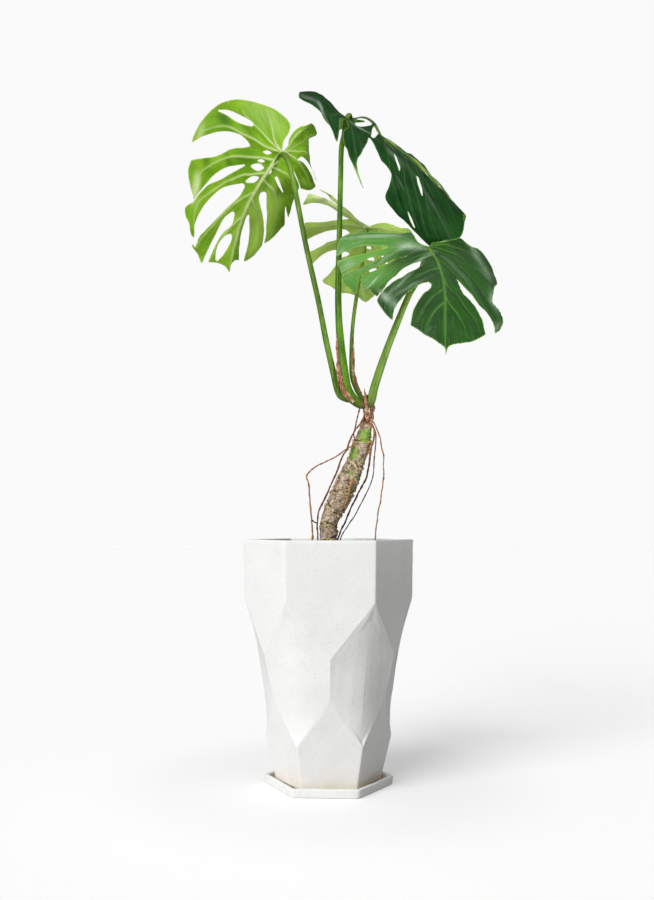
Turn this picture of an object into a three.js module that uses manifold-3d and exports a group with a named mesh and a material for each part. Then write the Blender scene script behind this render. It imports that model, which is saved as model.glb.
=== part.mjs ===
// A potted monstera: a young plant with four split leaves in a tall faceted white pot on a saucer.
// Millimetres, +Z up. The origin is the centre of the saucer's underside, so the plant stands on z = 0.
// +X is the viewer's right and +Y points away from the viewer.
import * as THREE from "three";
import { mergeVertices } from "three/addons/utils/BufferGeometryUtils.js";
import Module from "manifold-3d";

const wasm = await Module();
wasm.setup();

// ---- driving dimensions ----
const GAP = 0.3; // left between pieces that touch
const DEGREE = Math.PI / 180;

const SAUCER = {
  corner: 100, footCorner: 98.6, rim: 13.4, wall: 6, floor: 4.4, turn: -3.4,
  ribs: 3, ribInner: 32, ribOuter: 86, ribWidth: 7, ribHeight: 1.6,
};

// The pot's outer facets, as height and distance from the axis on a corner and on the middle of a face.
const POT = {
  turn: 1.2,
  wall: 10,
  floor: 12,
  drain: 11,
  rim: 376,
  lipRound: 2,
  corner: [[0, 80.6], [67, 97], [110, 98.6], [155, 104.6], [215, 114.4], [281, 129.8], [370, 131]],
  middle: [[0, 69.8], [131, 96], [146, 99.4], [163, 103.3], [181, 107.4], [199, 111.5], [370, 113.4]],
};
const POT_FOOT = SAUCER.floor + SAUCER.ribHeight + GAP;
const SOIL_TOP = 350;

// The stem: centre of each section and its radius, from the buried foot to the crown.
const STEM = [
  [0, 0, 285, 12], [-1, 0, 340, 14], [0, 0, 378, 13.5], [2, 1, 406, 13.5], [16, 3, 436, 17],
  [30, 4, 467, 17], [43, 4, 498, 13.5], [51, 3, 521, 14.5], [57, 1, 544, 9.5], [61, 0, 563, 5.6],
  [62, 0, 578, 8], [61, 1, 590, 9], [60, 2, 600, 4.5],
];

// The leaf stalks: centre and radius of each section, from inside the crown up to just under the blade. Each
// ends on its blade's midrib, STALK_REACH along it with the radius STALK_END, and is cut back to GAP from the
// stem, from its blade and from the stalks named before it.
const STALK_REACH = 8;
const STALK_END = 3.2;
const STALKS = {
  top: [
    [60, -1, 583, 6], [47, -7, 584, 7], [35, -8, 594, 7.7], [27, -7, 611, 7.6], [23, -5, 638, 6.9],
    [19, -3, 673, 6.2], [16, -1, 712, 5.4], [15, 2, 759, 4.9], [17, 9, 855, 4.3], [19, 16, 943, 3.9],
    [20, 19, 983, 4.1], [24, 20, 1006, 3.7], [29, 20, 1023, 4],
  ],
  left: [
    [42, -1, 590, 4.6], [25, -1, 593, 5], [15, -1, 603, 5.2], [7, -2, 634, 4.8], [-4, -1, 683, 4.5],
    [-16, 2, 745, 4.2], [-35, 8, 831, 4.1], [-55, 14, 934, 4], [-62, 14, 960, 4.1], [-67, 15, 972, 4.3],
  ],
  right: [
    [62, -2, 580, 6], [66, -7, 590, 6.6], [71, -8, 612, 6.4], [88, -13, 663, 5.6], [106, -23, 709, 5],
    [120, -34, 742, 4.6], [131, -43, 761, 4.4], [142, -53, 789, 4.1], [146, -59, 800, 4.3],
  ],
  back: [
    [60, 3, 588, 4], [52, 11, 595, 4], [42, 12, 612, 3.7], [36, 13, 634, 3.4], [36, 17, 679, 3.1],
    [39, 25, 720, 3], [46, 36, 770, 3], [54, 50, 818, 3], [60, 62, 856, 3.1], [61, 67, 867, 3.3],
  ],
};

// A blade is drawn flat: u across and v along the midrib, from the stalk at (0, 0) to the tip, with u to the
// right seen from the glossy upper side. Its outline is then cut by slots and holes, each a row of
// [u, v, half width], and bent onto the midrib, whose points lie `step` apart from `start`.
// `rise` is the angle of each half at the midrib and `bend` its further turning per 100 mm, both towards the
// upper side; `up` is the rough direction that the upper side faces, and `heading`, where it is given, the
// direction that the cross rows are square to.
const BLADES = {
  left: {
    colour: 0x8fbf3c, start: -80, step: 40, up: [-0.15, 0.86, 0.48],
    midrib: [
      [-22, -6, 1018], [-47, 4, 1003], [-71, 20, 982], [-96, 40, 957], [-119, 62, 930],
      [-137, 80, 902], [-150, 94, 867], [-160, 105, 832], [-167, 113, 793],
    ],
    riseRight: [62, 58, 46, 38, 34, 30, 26, 22, 18], bendRight: [-10, -10, -10, -10, -10, -10, -10, -10, -10],
    riseLeft: [14, 12, 8, 6, 5, 5, 5, 5, 5], bendLeft: [-20, -20, -22, -22, -22, -20, -18, -16, -16],
    outline: [
      [0, 0], [-8, -12], [-10, -28], [-18, -39], [-45, -38], [-73, -28], [-104, -13], [-119, 6], [-127, 30],
      [-128, 48], [-125, 62], [-118, 72], [-112, 81], [-107, 98], [-95, 114], [-84, 127], [-93, 142],
      [-80, 159], [-73, 174], [-61, 185], [-68, 190], [-55, 201], [-45, 213], [-37, 209], [-20, 207],
      [-8, 210], [0, 217], [1, 204], [10, 196], [25, 196], [38, 184], [53, 161], [68, 145], [80, 128],
      [88, 112], [86, 82], [79, 54], [84, 50], [101, 46], [109, 34], [110, 25], [95, 15], [80, 5],
      [68, -8], [61, -26], [47, -44], [53, -57], [55, -66], [31, -69], [10, -66], [-1, -55], [-5, -38],
      [-4, -22], [2, -8],
    ],
    slots: [
      [[-45, 26, 1], [-54, 28, 6], [-66, 31, 10], [-77, 37, 13], [-90, 48, 16], [-105, 59, 15], [-122, 72, 12]],
      [[-35, 53, 1], [-44, 63, 3.5], [-54, 74, 5.5], [-63, 88, 5], [-72, 104, 1.3], [-84, 130, 0.8]],
      [[-22, 82, 5], [-29, 95, 11], [-38, 108, 14], [-46, 123, 14], [-54, 139, 13], [-61, 157, 10],
        [-63, 172, 4.5], [-63, 190, 1]],
      [[-17, 127, 3.5], [-21, 140, 8], [-26, 151, 5.5], [-32, 172, 3.6], [-43, 217, 4]],
      [[11, 123, 3.4], [14, 136, 6.4], [16, 150, 8.4], [18, 168, 8.4], [21, 200, 3.6]],
      [[22, 81, 6.5], [25, 87, 7], [34, 99, 6], [43, 113, 4.4], [50, 130, 2.4], [55, 166, 1.2]],
      [[75, 87, 0.8], [81, 98, 2.2], [90, 114, 4.5]],
      [[45, 21, 0.8], [63, 32, 1], [79, 45, 1], [84, 56, 4]],
      [[43, 4, 1], [54, 1, 3.6], [71, 5, 2.8], [92, 17, 2], [112, 30, 3.2]],
      [[28, 47, 2.3], [39, 55, 2.4], [56, 66, 0.8]],
      [[-113, 11, 1], [-100, 7, 3.3], [-85, 5, 5], [-71, 2, 5], [-62, 0, 3.3]],
      [[-11, 158, 2], [-14, 166, 6.5], [-18, 178, 7.9], [-21, 191, 6.4], [-23, 201, 2.7]],
      [[-20, 20, 2.6], [-14, 16, 2.6]],
      [[-20, 35, 2.2], [-14, 32, 2.2]],
      [[-20, 46, 4], [-12, 42, 4]],
      [[-16, 68, 4.5], [-9, 59, 4.5]],
      [[5, 37, 1.5], [9, 42, 3]],
      [[5, 24, 1.8], [6.5, 21, 1.8]],
    ],
  },
  top: {
    colour: 0x1f4a26, start: -80, step: 40, up: [0, -0.1, 0.99],
    heading: [
      [1, 0, -0.2], [1, 0, -0.1], [1, 0, 0.1], [1, 0, 0.2], [1, 0, 0.25],
      [1, 0, 0.3], [1, 0, 0.35], [1, 0, 0.4], [1, 0, 0.5], [1, 0, 0.6],
    ],
    midrib: [
      [-48, 34, 1078], [-12, 26, 1070], [29, 20, 1033], [64, 12, 1023], [90, 10, 991],
      [121, 10, 967], [151, 12, 940], [180, 18, 912], [207, 25, 883], [209, 24, 844],
    ],
    riseRight: [-25, -25, -25, -25, -25, -25, -25, -25, -25, -25],
    bendRight: [-50, -50, -50, -50, -50, -50, -50, -50, -50, -50],
    riseLeft: [-10, 8, 24, 18, 24, 42, 48, 42, 28, 10],
    bendLeft: [-30, -30, -30, -30, -30, -30, -30, -30, -30, -30],
    outline: [
      [10, -78], [25, -75], [40, -65], [49, -53], [56, -40], [62, -32], [79, -22], [93, -17], [92, -8],
      [105, -5], [116, -2], [120, 3], [98, 8], [87, 33], [102, 37], [106, 45], [110, 54], [122, 51],
      [140, 43], [157, 35], [166, 38], [174, 51], [171, 71], [176, 86], [180, 96], [183, 109], [170, 120],
      [160, 134], [150, 148], [138, 163], [128, 173], [110, 185], [88, 198], [60, 217], [33, 236],
      [12, 250], [0, 268], [-4, 260], [-34, 240],
      [-66, 216], [-90, 184], [-104, 150], [-112, 118], [-112, 84], [-104, 52], [-88, 26], [-60, 6],
      [-26, -8], [-28, -24], [-16, -40], [-14, -62], [-5, -76],
    ],
    slots: [
      [[24, -4, 1], [40, -7, 6], [66, -12, 2], [96, -13, 4]],
      [[66, 27, 1.5], [76, 27, 5], [92, 24, 11], [112, 22, 18]],
      [[148, 78, 1], [158, 82, 3.4], [180, 89, 3.5]],
      [[-26, 38, 3], [-44, 42, 9], [-70, 50, 15], [-112, 64, 20]],
      [[-40, 100, 1], [-75, 112, 4], [-118, 128, 6]],
      [[-36, 150, 1], [-66, 164, 4], [-108, 188, 6]],
      [[22, 19, 6], [22, 25, 6]],
      [[57, 42, 3], [48, 52, 5], [38, 62, 4.5], [26, 74, 2]],
      [[50, 82, 3], [67, 82, 4.5], [83, 79, 2]],
      [[68, 118, 2], [86, 116, 3.3], [102, 114, 1.3]],
      [[-10, 160, 2], [-12, 180, 3.5], [-10, 205, 2]],
    ],
  },
  back: {
    colour: 0x9cc04e, start: -80, step: 40, up: [0.25, 0.45, 0.86],
    midrib: [
      [65, 2, 922], [63, 36, 901], [61, 70, 880], [59, 104, 859],
      [58, 139, 839], [59, 174, 820], [62, 211, 804], [66, 248, 792],
    ],
    riseRight: [-15, -20, -30, -34, -34, -30, -24, -20], bendRight: [-25, -25, -25, -25, -25, -25, -25, -25],
    riseLeft: [0, 0, 0, 0, 0, 0, 0, 0], bendLeft: [-20, -20, -20, -20, -20, -20, -20, -20],
    outline: [
      [-2, -3], [-15, -10], [-42, -34], [-59, -50], [-78, -60], [-94, -52], [-102, -36], [-104, -22],
      [-102, -6], [-100, 9], [-98, 26], [-94, 45], [-90, 66], [-88, 84], [-84, 104], [-73, 129], [-62, 145],
      [-49, 160], [-34, 170], [-14, 176], [0, 188], [16, 162], [36, 122], [52, 88], [66, 50], [78, 12],
      [88, -24], [93, -44], [82, -46], [66, -38], [49, -33], [33, -26], [18, -15], [5, -3],
    ],
    slots: [
      [[-49, -33, 0.6], [-60, -40, 1.2], [-68, -48, 3.9], [-77, -52, 5], [-92, -58, 7]],
      [[-31, -7, 1], [-40, -7, 3.5], [-54, -10, 10], [-70, -13, 16.8], [-88, -13, 19], [-108, -7, 16]],
      [[-28, 21, 2], [-38, 23, 6.4], [-51, 30, 8.9], [-66, 37, 10.3], [-80, 46, 12], [-98, 60, 11]],
      [[-27, 65, 3.3], [-42, 71, 8.3], [-53, 80, 13.8], [-64, 91, 17], [-73, 104, 17.7], [-86, 124, 16]],
      [[44, -6, 1.2], [60, -4, 4], [88, 2, 6]],
      [[38, 30, 2], [52, 34, 4.5], [76, 42, 6]],
      [[24, 112, 2], [36, 118, 4], [52, 124, 5]],
      [[3, 42, 3], [14, 36, 2]],
      [[10, 62, 5], [24, 52, 4]],
      [[20, 84, 4.5], [34, 70, 2.8]],
    ],
  },
  right: {
    colour: 0x3f8f3c, start: -80, step: 40, up: [0, -0.72, 0.69],
    midrib: [
      [123, -50, 868], [133.5, -56, 840], [146, -66, 809], [155, -93, 784], [161, -119, 754],
      [162, -145, 723], [160, -165, 689], [158, -181, 652], [158, -191, 614],
    ],
    riseRight: [0, 0, 0, 0, 0, 0, 0, 0, 0], bendRight: [-20, -20, -22, -22, -22, -20, -18, -16, -16],
    riseLeft: [-12, -14, -18, -22, -26, -26, -24, -20, -16],
    bendLeft: [-18, -18, -18, -18, -18, -18, -18, -18, -18],
    outline: [
      [5, -4], [12, -16], [14, -27], [17, -32], [32, -36], [45, -43], [73, -57], [88, -64], [105, -69],
      [114, -68], [121, -59], [129, -46], [132, -38], [135, -26], [134, -15], [135, -4], [137, 8], [134, 38], [129, 66], [123, 84], [108, 82], [101, 102],
      [94, 121], [94, 133], [86, 151], [75, 167], [65, 176], [48, 182], [37, 189], [11, 208], [1, 215],
      [0, 226], [-5, 213], [-27, 204], [-48, 191], [-68, 170], [-76, 167], [-86, 158], [-97, 142],
      [-108, 119], [-109, 101], [-100, 88], [-96, 79], [-113, 39], [-127, 12], [-134, -3], [-124, -10],
      [-99, -12], [-86, -15], [-75, -19], [-55, -15], [-38, -12], [-24, -10], [-12, -8], [-3, 0],
    ],
    slots: [
      [[59, -21, 1], [64, -22, 2], [76, -26, 4], [87, -30, 6], [104, -34, 6.3], [119, -35, 5], [132, -36, 4]],
      [[62, -4, 0.8], [73, -5, 3.6], [82, -6, 5.7], [91, -7, 7], [107, -5, 5.4], [121, -6, 3.7],
        [132, -4, 1], [141, -4, 0.8]],
      [[38, 17, 1.5], [51, 19, 1.6], [64, 22, 4], [81, 24, 7.4], [92, 25, 9], [102, 27, 7], [112, 33, 3],
        [116, 45, 2.4], [118, 64, 4.5], [117, 90, 8]],
      [[22, 49, 2], [32, 53, 6.7], [44, 59, 8.8], [57, 69, 7.7], [68, 77, 5.7], [79, 92, 2.5],
        [88, 106, 1], [98, 128, 1.6]],
      [[23, 107, 4.7], [28, 112, 8], [38, 122, 9.7], [47, 134, 11.4], [53, 146, 12.4], [58, 160, 13.3],
        [60, 188, 12]],
      [[-26, 81, 2.5], [-33, 96, 8.4], [-44, 108, 10.4], [-57, 121, 10.9], [-68, 136, 11.4],
        [-74, 154, 10], [-72, 174, 4]],
    ],
  },
};
const BLADE = { thick: 1.2, longestEdge: 36 };

// Aerial roots that hang from the neck and the stem down to the soil, as rows of [x, y, z]. They start inside
// the stem and are cut back to GAP from it.
const ROOT_RADIUS = 0.9;
const ROOTS = {
  aerial_root_neck_left: [[60, 0, 573], [52, -6, 570], [46, -8, 561], [41, -8, 545], [40, -6, 533], [45, -4, 524]],
  aerial_root_long_left: [
    [58, -2, 565], [52, -9, 559], [45, -13, 548], [37, -13, 537], [29, -12, 516], [20, -13, 500],
    [12, -14, 478], [1, -15, 454], [-8, -14, 434], [-15, -12, 417], [-17, -10, 398], [-16, -8, 378],
    [-14, -6, 350.6],
  ],
  aerial_root_kneed: [
    [40, -4, 522], [31, -14, 516], [20, -19, 508], [8, -22, 500], [-6, -25, 493], [-18, -28, 487],
    [-31, -30, 476], [-33, -30, 470], [-30, -29, 460], [-28, -27, 435], [-26, -25, 408], [-24, -23, 380],
    [-22, -21, 350.6],
  ],
  aerial_root_link: [[-24, -24.2, 405], [-21, -20, 402], [-18, -12.4, 401]],
  aerial_root_right_inner: [
    [61, -2, 556], [68, -8, 548], [70, -10, 538], [69, -10, 526], [66, -10, 518], [63, -11, 501],
    [61, -11, 483], [55, -12, 464], [43, -14, 442], [35, -15, 425], [27, -15, 406], [20, -14, 391],
    [14, -13, 374], [11, -12, 350.6],
  ],
  aerial_root_right_middle: [
    [60, 2, 560], [69, 4, 551], [73, 5, 538], [73, 5, 522], [71, 6, 508], [70, 6, 485], [66, 6, 464],
    [56, 5, 442], [43, 3, 417], [31, 1, 398], [23, -1, 386], [18, -3, 372], [17, -4, 350.6],
  ],
  aerial_root_right_outer: [
    [60, -1, 566], [69, -2, 556], [75, -3, 544], [79, -4, 531], [83, -5, 512], [85, -5, 485],
    [83, -4, 458], [79, -3, 431], [75, -2, 406], [72, 0, 379], [70, 1, 350.6],
  ],
  aerial_root_stem_front: [
    [36, -8, 470], [35.5, -13.4, 464], [32.5, -12.9, 454], [29.5, -11.8, 441], [27, -9.6, 431], [25, -7.5, 423],
  ],
};

// Dry papery remains of old leaf sheaths, thin strips beside the stalks: rows of [x, y, z, half width]. They
// are cut back to GAP from the stalks and the stem.
const SHEATH_HALF_THICK = 0.5;
const SHEATHS = {
  dry_sheath_top_stalk: [
    [12.6, -6.6, 684, 1.2], [13.6, -8.6, 660, 2], [15.4, -10.6, 636, 2.8], [19, -13.2, 611, 3.4],
    [28, -15.4, 595, 3.2], [39, -15.2, 585, 2.4],
  ],
  dry_sheath_back_stalk: [
    [38.6, 14, 683, 1], [38.6, 12, 655, 1.8], [38.8, 10.2, 634, 2.4], [44.5, 8.6, 613, 2.4], [51, 7.4, 602, 1.6],
  ],
  dry_sheath_crown: [
    [55, -9, 606, 1], [56, -10.5, 596, 2.2], [57, -10.5, 586, 2.4], [58.5, -8.6, 575, 1.6],
  ],
};

// ---- building blocks ----
const vec = (p) => new THREE.Vector3(p[0], p[1], p[2]);
const polar = (radius, degrees, z) =>
  new THREE.Vector3(radius * Math.cos(degrees * DEGREE), radius * Math.sin(degrees * DEGREE), z);

// A skin over rows of points, all rows equally long and running anticlockwise seen from the far end. Each
// patch of four points is split along the diagonal whose middle is nearer the axis, which keeps hollow
// facets hollow. Open ends are closed by a fan; a looped skin joins its last row to its first.
function skin(rows, looped = false) {
  const count = rows[0].length;
  const points = rows.flat();
  const index = [];
  const bands = looped ? rows.length : rows.length - 1;
  for (let r = 0; r < bands; r++) {
    for (let c = 0; c < count; c++) {
      const a = r * count + c;
      const b = r * count + ((c + 1) % count);
      const up = ((r + 1) % rows.length) * count - r * count;
      const rising = middleReach(points[a], points[b + up]) < middleReach(points[b], points[a + up]);
      if (rising) index.push(a, b, b + up, a, b + up, a + up);
      else index.push(a, b, a + up, b, b + up, a + up);
    }
  }
  if (!looped) {
    for (const [row, first] of [[0, true], [rows.length - 1, false]]) {
      const middle = rows[row].reduce((sum, p) => sum.add(p), new THREE.Vector3()).divideScalar(count);
      const centre = points.push(middle) - 1;
      for (let c = 0; c < count; c++) {
        const a = row * count + c;
        const b = row * count + ((c + 1) % count);
        index.push(...(first ? [b, a, centre] : [a, b, centre]));
      }
    }
  }
  return new THREE.BufferGeometry().setFromPoints(points).setIndex(index);
}

const middleReach = (p, q) => Math.hypot(p.x + q.x, p.y + q.y) / 2;

// A round limb through sections of [x, y, z, radius], smoothed, with rings square to its path. `grow` swells
// it all round and at both ends.
function limb(sections, sides, steps, grow = 0) {
  const path = new THREE.CatmullRomCurve3(sections.map(vec));
  const frames = path.computeFrenetFrames(steps);
  const rows = [];
  for (let i = 0; i <= steps; i++) {
    const at = (i / steps) * (sections.length - 1);
    const k = Math.min(Math.floor(at), sections.length - 2);
    const radius = THREE.MathUtils.lerp(sections[k][3], sections[k + 1][3], at - k) + grow;
    const outward = i === 0 ? -grow : (i === steps ? grow : 0);
    const centre = path.getPoint(i / steps).addScaledVector(frames.tangents[i], outward);
    rows.push(ring(sides, centre, frames.normals[i], frames.binormals[i], radius, radius));
  }
  return skin(rows);
}

// An ellipse of points about a centre, anticlockwise seen from where across × along points.
function ring(sides, centre, across, along, half, halfAlong) {
  return Array.from({ length: sides }, (_, s) => {
    const turn = (2 * Math.PI * s) / sides;
    return centre.clone()
      .addScaledVector(across, half * Math.cos(turn))
      .addScaledVector(along, halfAlong * Math.sin(turn));
  });
}

// A thin strip that faces the viewer, through rows of [x, y, z, half width].
function strip(sections, sides, steps) {
  const path = new THREE.CatmullRomCurve3(sections.map(vec));
  const rows = [];
  for (let i = 0; i <= steps; i++) {
    const at = (i / steps) * (sections.length - 1);
    const k = Math.min(Math.floor(at), sections.length - 2);
    const half = THREE.MathUtils.lerp(sections[k][3], sections[k + 1][3], at - k);
    const tangent = path.getTangent(i / steps);
    const across = new THREE.Vector3(0, 1, 0).cross(tangent).normalize();
    const facing = tangent.clone().cross(across);
    rows.push(ring(sides, path.getPoint(i / steps), across, facing, half, SHEATH_HALF_THICK));
  }
  return skin(rows);
}

// Joins and cuts go through closed solids, and come back as plain geometry.
function solid(geometry) {
  const bare = new THREE.BufferGeometry().setAttribute("position", geometry.getAttribute("position"));
  if (geometry.index) bare.setIndex(geometry.index);
  const merged = mergeVertices(bare, 1e-4);
  const made = new wasm.Manifold(new wasm.Mesh({
    numProp: 3,
    vertProperties: new Float32Array(merged.attributes.position.array),
    triVerts: new Uint32Array(merged.index.array),
  }));
  return made;
}
function geometryOf(made) {
  const mesh = made.getMesh();
  return new THREE.BufferGeometry()
    .setAttribute("position", new THREE.BufferAttribute(new Float32Array(mesh.vertProperties), 3))
    .setIndex(new THREE.BufferAttribute(new Uint32Array(mesh.triVerts), 1));
}

// A piece cut back to its neighbours' rooms. The cut leaves scraps beyond them, so only the largest body counts.
function fitted(geometry, neighbours) {
  const cut = neighbours.reduce((left, room) => left.subtract(room), solid(geometry));
  return geometryOf(cut.decompose().reduce((a, b) => (a.volume() > b.volume() ? a : b)));
}

function meshOf(name, geometry, colour, roughness) {
  const shaded = geometry.index ? geometry.toNonIndexed() : geometry;
  shaded.computeVertexNormals();
  const mesh = new THREE.Mesh(shaded, new THREE.MeshStandardMaterial({ color: colour, roughness, metalness: 0 }));
  mesh.name = name;
  return mesh;
}

// ---- saucer and pot ----
const hexagon = (corner, z, turn) => Array.from({ length: 6 }, (_, i) => polar(corner, turn + 60 * i, z));

// A shallow hexagonal tray with low ribs that hold the pot off its floor.
function saucerShape() {
  const { corner, footCorner, rim, wall, floor, turn } = SAUCER;
  const inner = corner - wall / Math.cos(30 * DEGREE);
  const tray = skin([
    hexagon(footCorner - 2, 0, turn), hexagon(footCorner, 2, turn), hexagon(corner, rim - 1, turn),
    hexagon(corner - 1, rim, turn), hexagon(inner + 1, rim, turn), hexagon(inner - 1, floor, turn),
  ]);
  let body = solid(tray);
  for (let i = 0; i < SAUCER.ribs; i++) {
    const length = SAUCER.ribOuter - SAUCER.ribInner;
    const rib = new THREE.BoxGeometry(length, SAUCER.ribWidth, SAUCER.ribHeight * 2);
    rib.translate(SAUCER.ribInner + length / 2, 0, floor);
    rib.rotateZ((turn + (360 / SAUCER.ribs) * i) * DEGREE);
    body = body.add(solid(rib));
  }
  return geometryOf(body);
}

// One level of the pot: its corners and the middles of its faces, drawn in by `inset`.
function potLevel(level, inset) {
  return Array.from({ length: 12 }, (_, i) => {
    const [z, reach] = (i % 2 ? POT.middle : POT.corner)[level];
    const drawn = i % 2 ? inset : inset / Math.cos(30 * DEGREE);
    return polar(reach - drawn, POT.turn + 30 * i, POT_FOOT + z);
  });
}
function flatRing(z, cornerReach) {
  return Array.from({ length: 12 }, (_, i) =>
    polar(cornerReach * (i % 2 ? Math.cos(30 * DEGREE) : 1), POT.turn + 30 * i, z));
}

// The outer facets go up, over the lip and down the inner wall to the floor and its drain hole.
function potShape() {
  const levels = POT.corner.map((_, level) => level);
  const top = POT.corner.at(-1)[1];
  const inside = top - POT.wall / Math.cos(30 * DEGREE);
  const rows = [
    flatRing(POT_FOOT, POT.drain),
    flatRing(POT_FOOT, POT.corner[0][1] - 2),
    ...levels.map((level) => potLevel(level, 0)).map((row, level) =>
      level ? row : row.map((p) => p.setZ(POT_FOOT + 2))),
    flatRing(POT.rim, top - POT.lipRound),
    flatRing(POT.rim, inside + POT.lipRound),
    flatRing(POT.rim - POT.lipRound, inside),
    ...levels.slice(1, -1).reverse().map((level) => potLevel(level, POT.wall)),
    flatRing(POT_FOOT + POT.floor, POT.corner[0][1] - POT.wall),
    flatRing(POT_FOOT + POT.floor, POT.drain),
  ];
  return skin(rows, true);
}

// The soil fills the pot from its floor to a little under the lip, close to the wall, around the stem's foot.
function soilShape(stemRoom) {
  const levels = POT.corner.map((_, level) => level).slice(1, -1);
  const clear = POT.wall + GAP;
  const top = POT.corner.at(-1)[1] - clear / Math.cos(30 * DEGREE);
  const rows = [
    flatRing(POT_FOOT + POT.floor + GAP, POT.corner[0][1] - POT.wall - 2),
    ...levels.map((level) => potLevel(level, clear)),
    flatRing(SOIL_TOP, top - 0.5),
  ];
  return geometryOf(solid(skin(rows)).subtract(stemRoom));
}

// ---- leaf blades ----
// Value at station t of a row of numbers or points, on a curve through all of them.
function through(row, t) {
  const last = row.length - 1;
  const k = Math.min(Math.max(Math.floor(t), 0), last - 1);
  const f = t - k;
  const mix = (pick) => {
    const near = pick(row[k]);
    const far = pick(row[k + 1]);
    const before = k > 0 ? pick(row[k - 1]) : 2 * near - far;
    const after = k + 2 <= last ? pick(row[k + 2]) : 2 * far - near;
    return 0.5 * (2 * near + (far - before) * f + (2 * before - 5 * near + 4 * far - after) * f * f
      + (3 * near - before - 3 * far + after) * f * f * f);
  };
  return Array.isArray(row[0]) ? new THREE.Vector3(...[0, 1, 2].map((i) => mix((p) => p[i]))) : mix((p) => p);
}

// The bent place of the flat point (u, v): out along an arc that starts at the half's rise and keeps turning.
function bladePoint(blade, u, v) {
  const t = (v - blade.start) / blade.step;
  const centre = through(blade.midrib, t);
  const ahead = blade.heading
    ? through(blade.heading, t)
    : through(blade.midrib, t + 0.02).sub(through(blade.midrib, t - 0.02));
  const across = ahead.normalize().clone().cross(vec(blade.up)).normalize();
  const lift = across.clone().cross(ahead);
  const side = u < 0 ? "Left" : "Right";
  const from = through(blade["rise" + side], t) * DEGREE;
  const turning = through(blade["bend" + side], t) * DEGREE / 100;
  const to = from + turning * Math.abs(u);
  const out = (Math.sin(to) - Math.sin(from)) / turning;
  const over = (Math.cos(from) - Math.cos(to)) / turning;
  return centre.addScaledVector(across, u < 0 ? -out : out).addScaledVector(lift, over);
}
function bladeNormal(blade, u, v) {
  const tiny = 0.5;
  const across = bladePoint(blade, u + tiny, v).sub(bladePoint(blade, u - tiny, v));
  const along = bladePoint(blade, u, v + tiny).sub(bladePoint(blade, u, v - tiny));
  return across.cross(along).normalize();
}

// A slot's own outline: out along one side and back along the other, with rounded ends.
function slotShape(stations) {
  const points = stations.map(([u, v]) => new THREE.Vector2(u, v));
  const side = (hand) => stations.map(([, , half], i) => {
    const before = points[Math.max(i - 1, 0)];
    const after = points[Math.min(i + 1, points.length - 1)];
    const along = after.clone().sub(before).normalize();
    return points[i].clone().add(new THREE.Vector2(-along.y, along.x).multiplyScalar(hand * half));
  });
  const cap = (i, other, half) => {
    const away = points[i].clone().sub(points[other]).normalize();
    return points[i].clone().addScaledVector(away, half);
  };
  const last = stations.length - 1;
  return new THREE.Shape([
    ...side(1), cap(last, last - 1, stations[last][2]), ...side(-1).reverse(), cap(0, 1, stations[0][2]),
  ]);
}

// The flat blade as triangles of [u, v], after its slots are cut from the outline. Both halves are taken one
// by one, so that the fold along the midrib is an edge.
function flatBlade(blade) {
  const plate = (shape, depth) => {
    const slab = new THREE.ExtrudeGeometry(shape, { depth, bevelEnabled: false });
    return solid(slab.translate(0, 0, -depth / 2));
  };
  const outline = new THREE.Shape(blade.outline.map(([u, v]) => new THREE.Vector2(u, v)));
  const cut = blade.slots.reduce((left, slot) => left.subtract(plate(slotShape(slot), 4)), plate(outline, 2));
  const triangles = [];
  for (const otherHalf of [-500, 500]) {
    const far = new THREE.BoxGeometry(1000, 1000, 4).translate(otherHalf, 0, 0);
    const { vertProperties, triVerts } = cut.subtract(solid(far)).getMesh();
    const corner = (i) => Array.from(vertProperties.slice(3 * i, 3 * i + 3));
    for (let i = 0; i < triVerts.length; i += 3) {
      const three = [0, 1, 2].map((k) => corner(triVerts[i + k]));
      if (three.every((p) => p[2] > 0.9)) triangles.push(three.map(([u, v]) => [u, v]));
    }
  }
  return joinFold(triangles);
}

// Gives the triangles along the fold the points that either half has on it, so that the halves join.
function joinFold(triangles) {
  const onFold = ([u]) => Math.abs(u) < 1e-3;
  const stops = [...new Set(triangles.flat().filter(onFold).map(([, v]) => v))].sort((a, b) => a - b);
  return triangles.flatMap((triangle) => {
    const first = [0, 1, 2].find((k) => onFold(triangle[k]) && onFold(triangle[(k + 1) % 3]));
    if (first === undefined) return [triangle];
    const [a, b, c] = [0, 1, 2].map((k) => triangle[(first + k) % 3]);
    const low = Math.min(a[1], b[1]) + 0.01;
    const high = Math.max(a[1], b[1]) - 0.01;
    const between = stops.filter((v) => v > low && v < high).map((v) => [0, v]);
    if (a[1] > b[1]) between.reverse();
    const chain = [a, ...between, b];
    return chain.slice(1).map((next, k) => [chain[k], next, c]);
  });
}

// Every edge longer than the limit is halved, again and again, in both of the triangles that share it.
function refine(triangles, longest) {
  const middle = (a, b) => [(a[0] + b[0]) / 2, (a[1] + b[1]) / 2];
  const long = (a, b) => Math.hypot(a[0] - b[0], a[1] - b[1]) > longest;
  let work = triangles;
  for (let changed = true; changed;) {
    changed = false;
    work = work.flatMap((triangle) => {
      const size = (k) => Math.hypot(
        triangle[k][0] - triangle[(k + 1) % 3][0], triangle[k][1] - triangle[(k + 1) % 3][1]);
      const first = [0, 1, 2].sort((a, b) => size(b) - size(a))[0];
      const [a, b, c] = [0, 1, 2].map((k) => triangle[(first + k) % 3]);
      if (!long(a, b)) return [triangle];
      changed = true;
      const ab = middle(a, b);
      const halves = [];
      if (long(b, c)) halves.push([ab, b, middle(b, c)], [ab, middle(b, c), c]);
      else halves.push([ab, b, c]);
      if (long(c, a)) halves.push([ab, c, middle(c, a)], [ab, middle(c, a), a]);
      else halves.push([ab, c, a]);
      return halves;
    });
  }
  return work;
}

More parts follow.
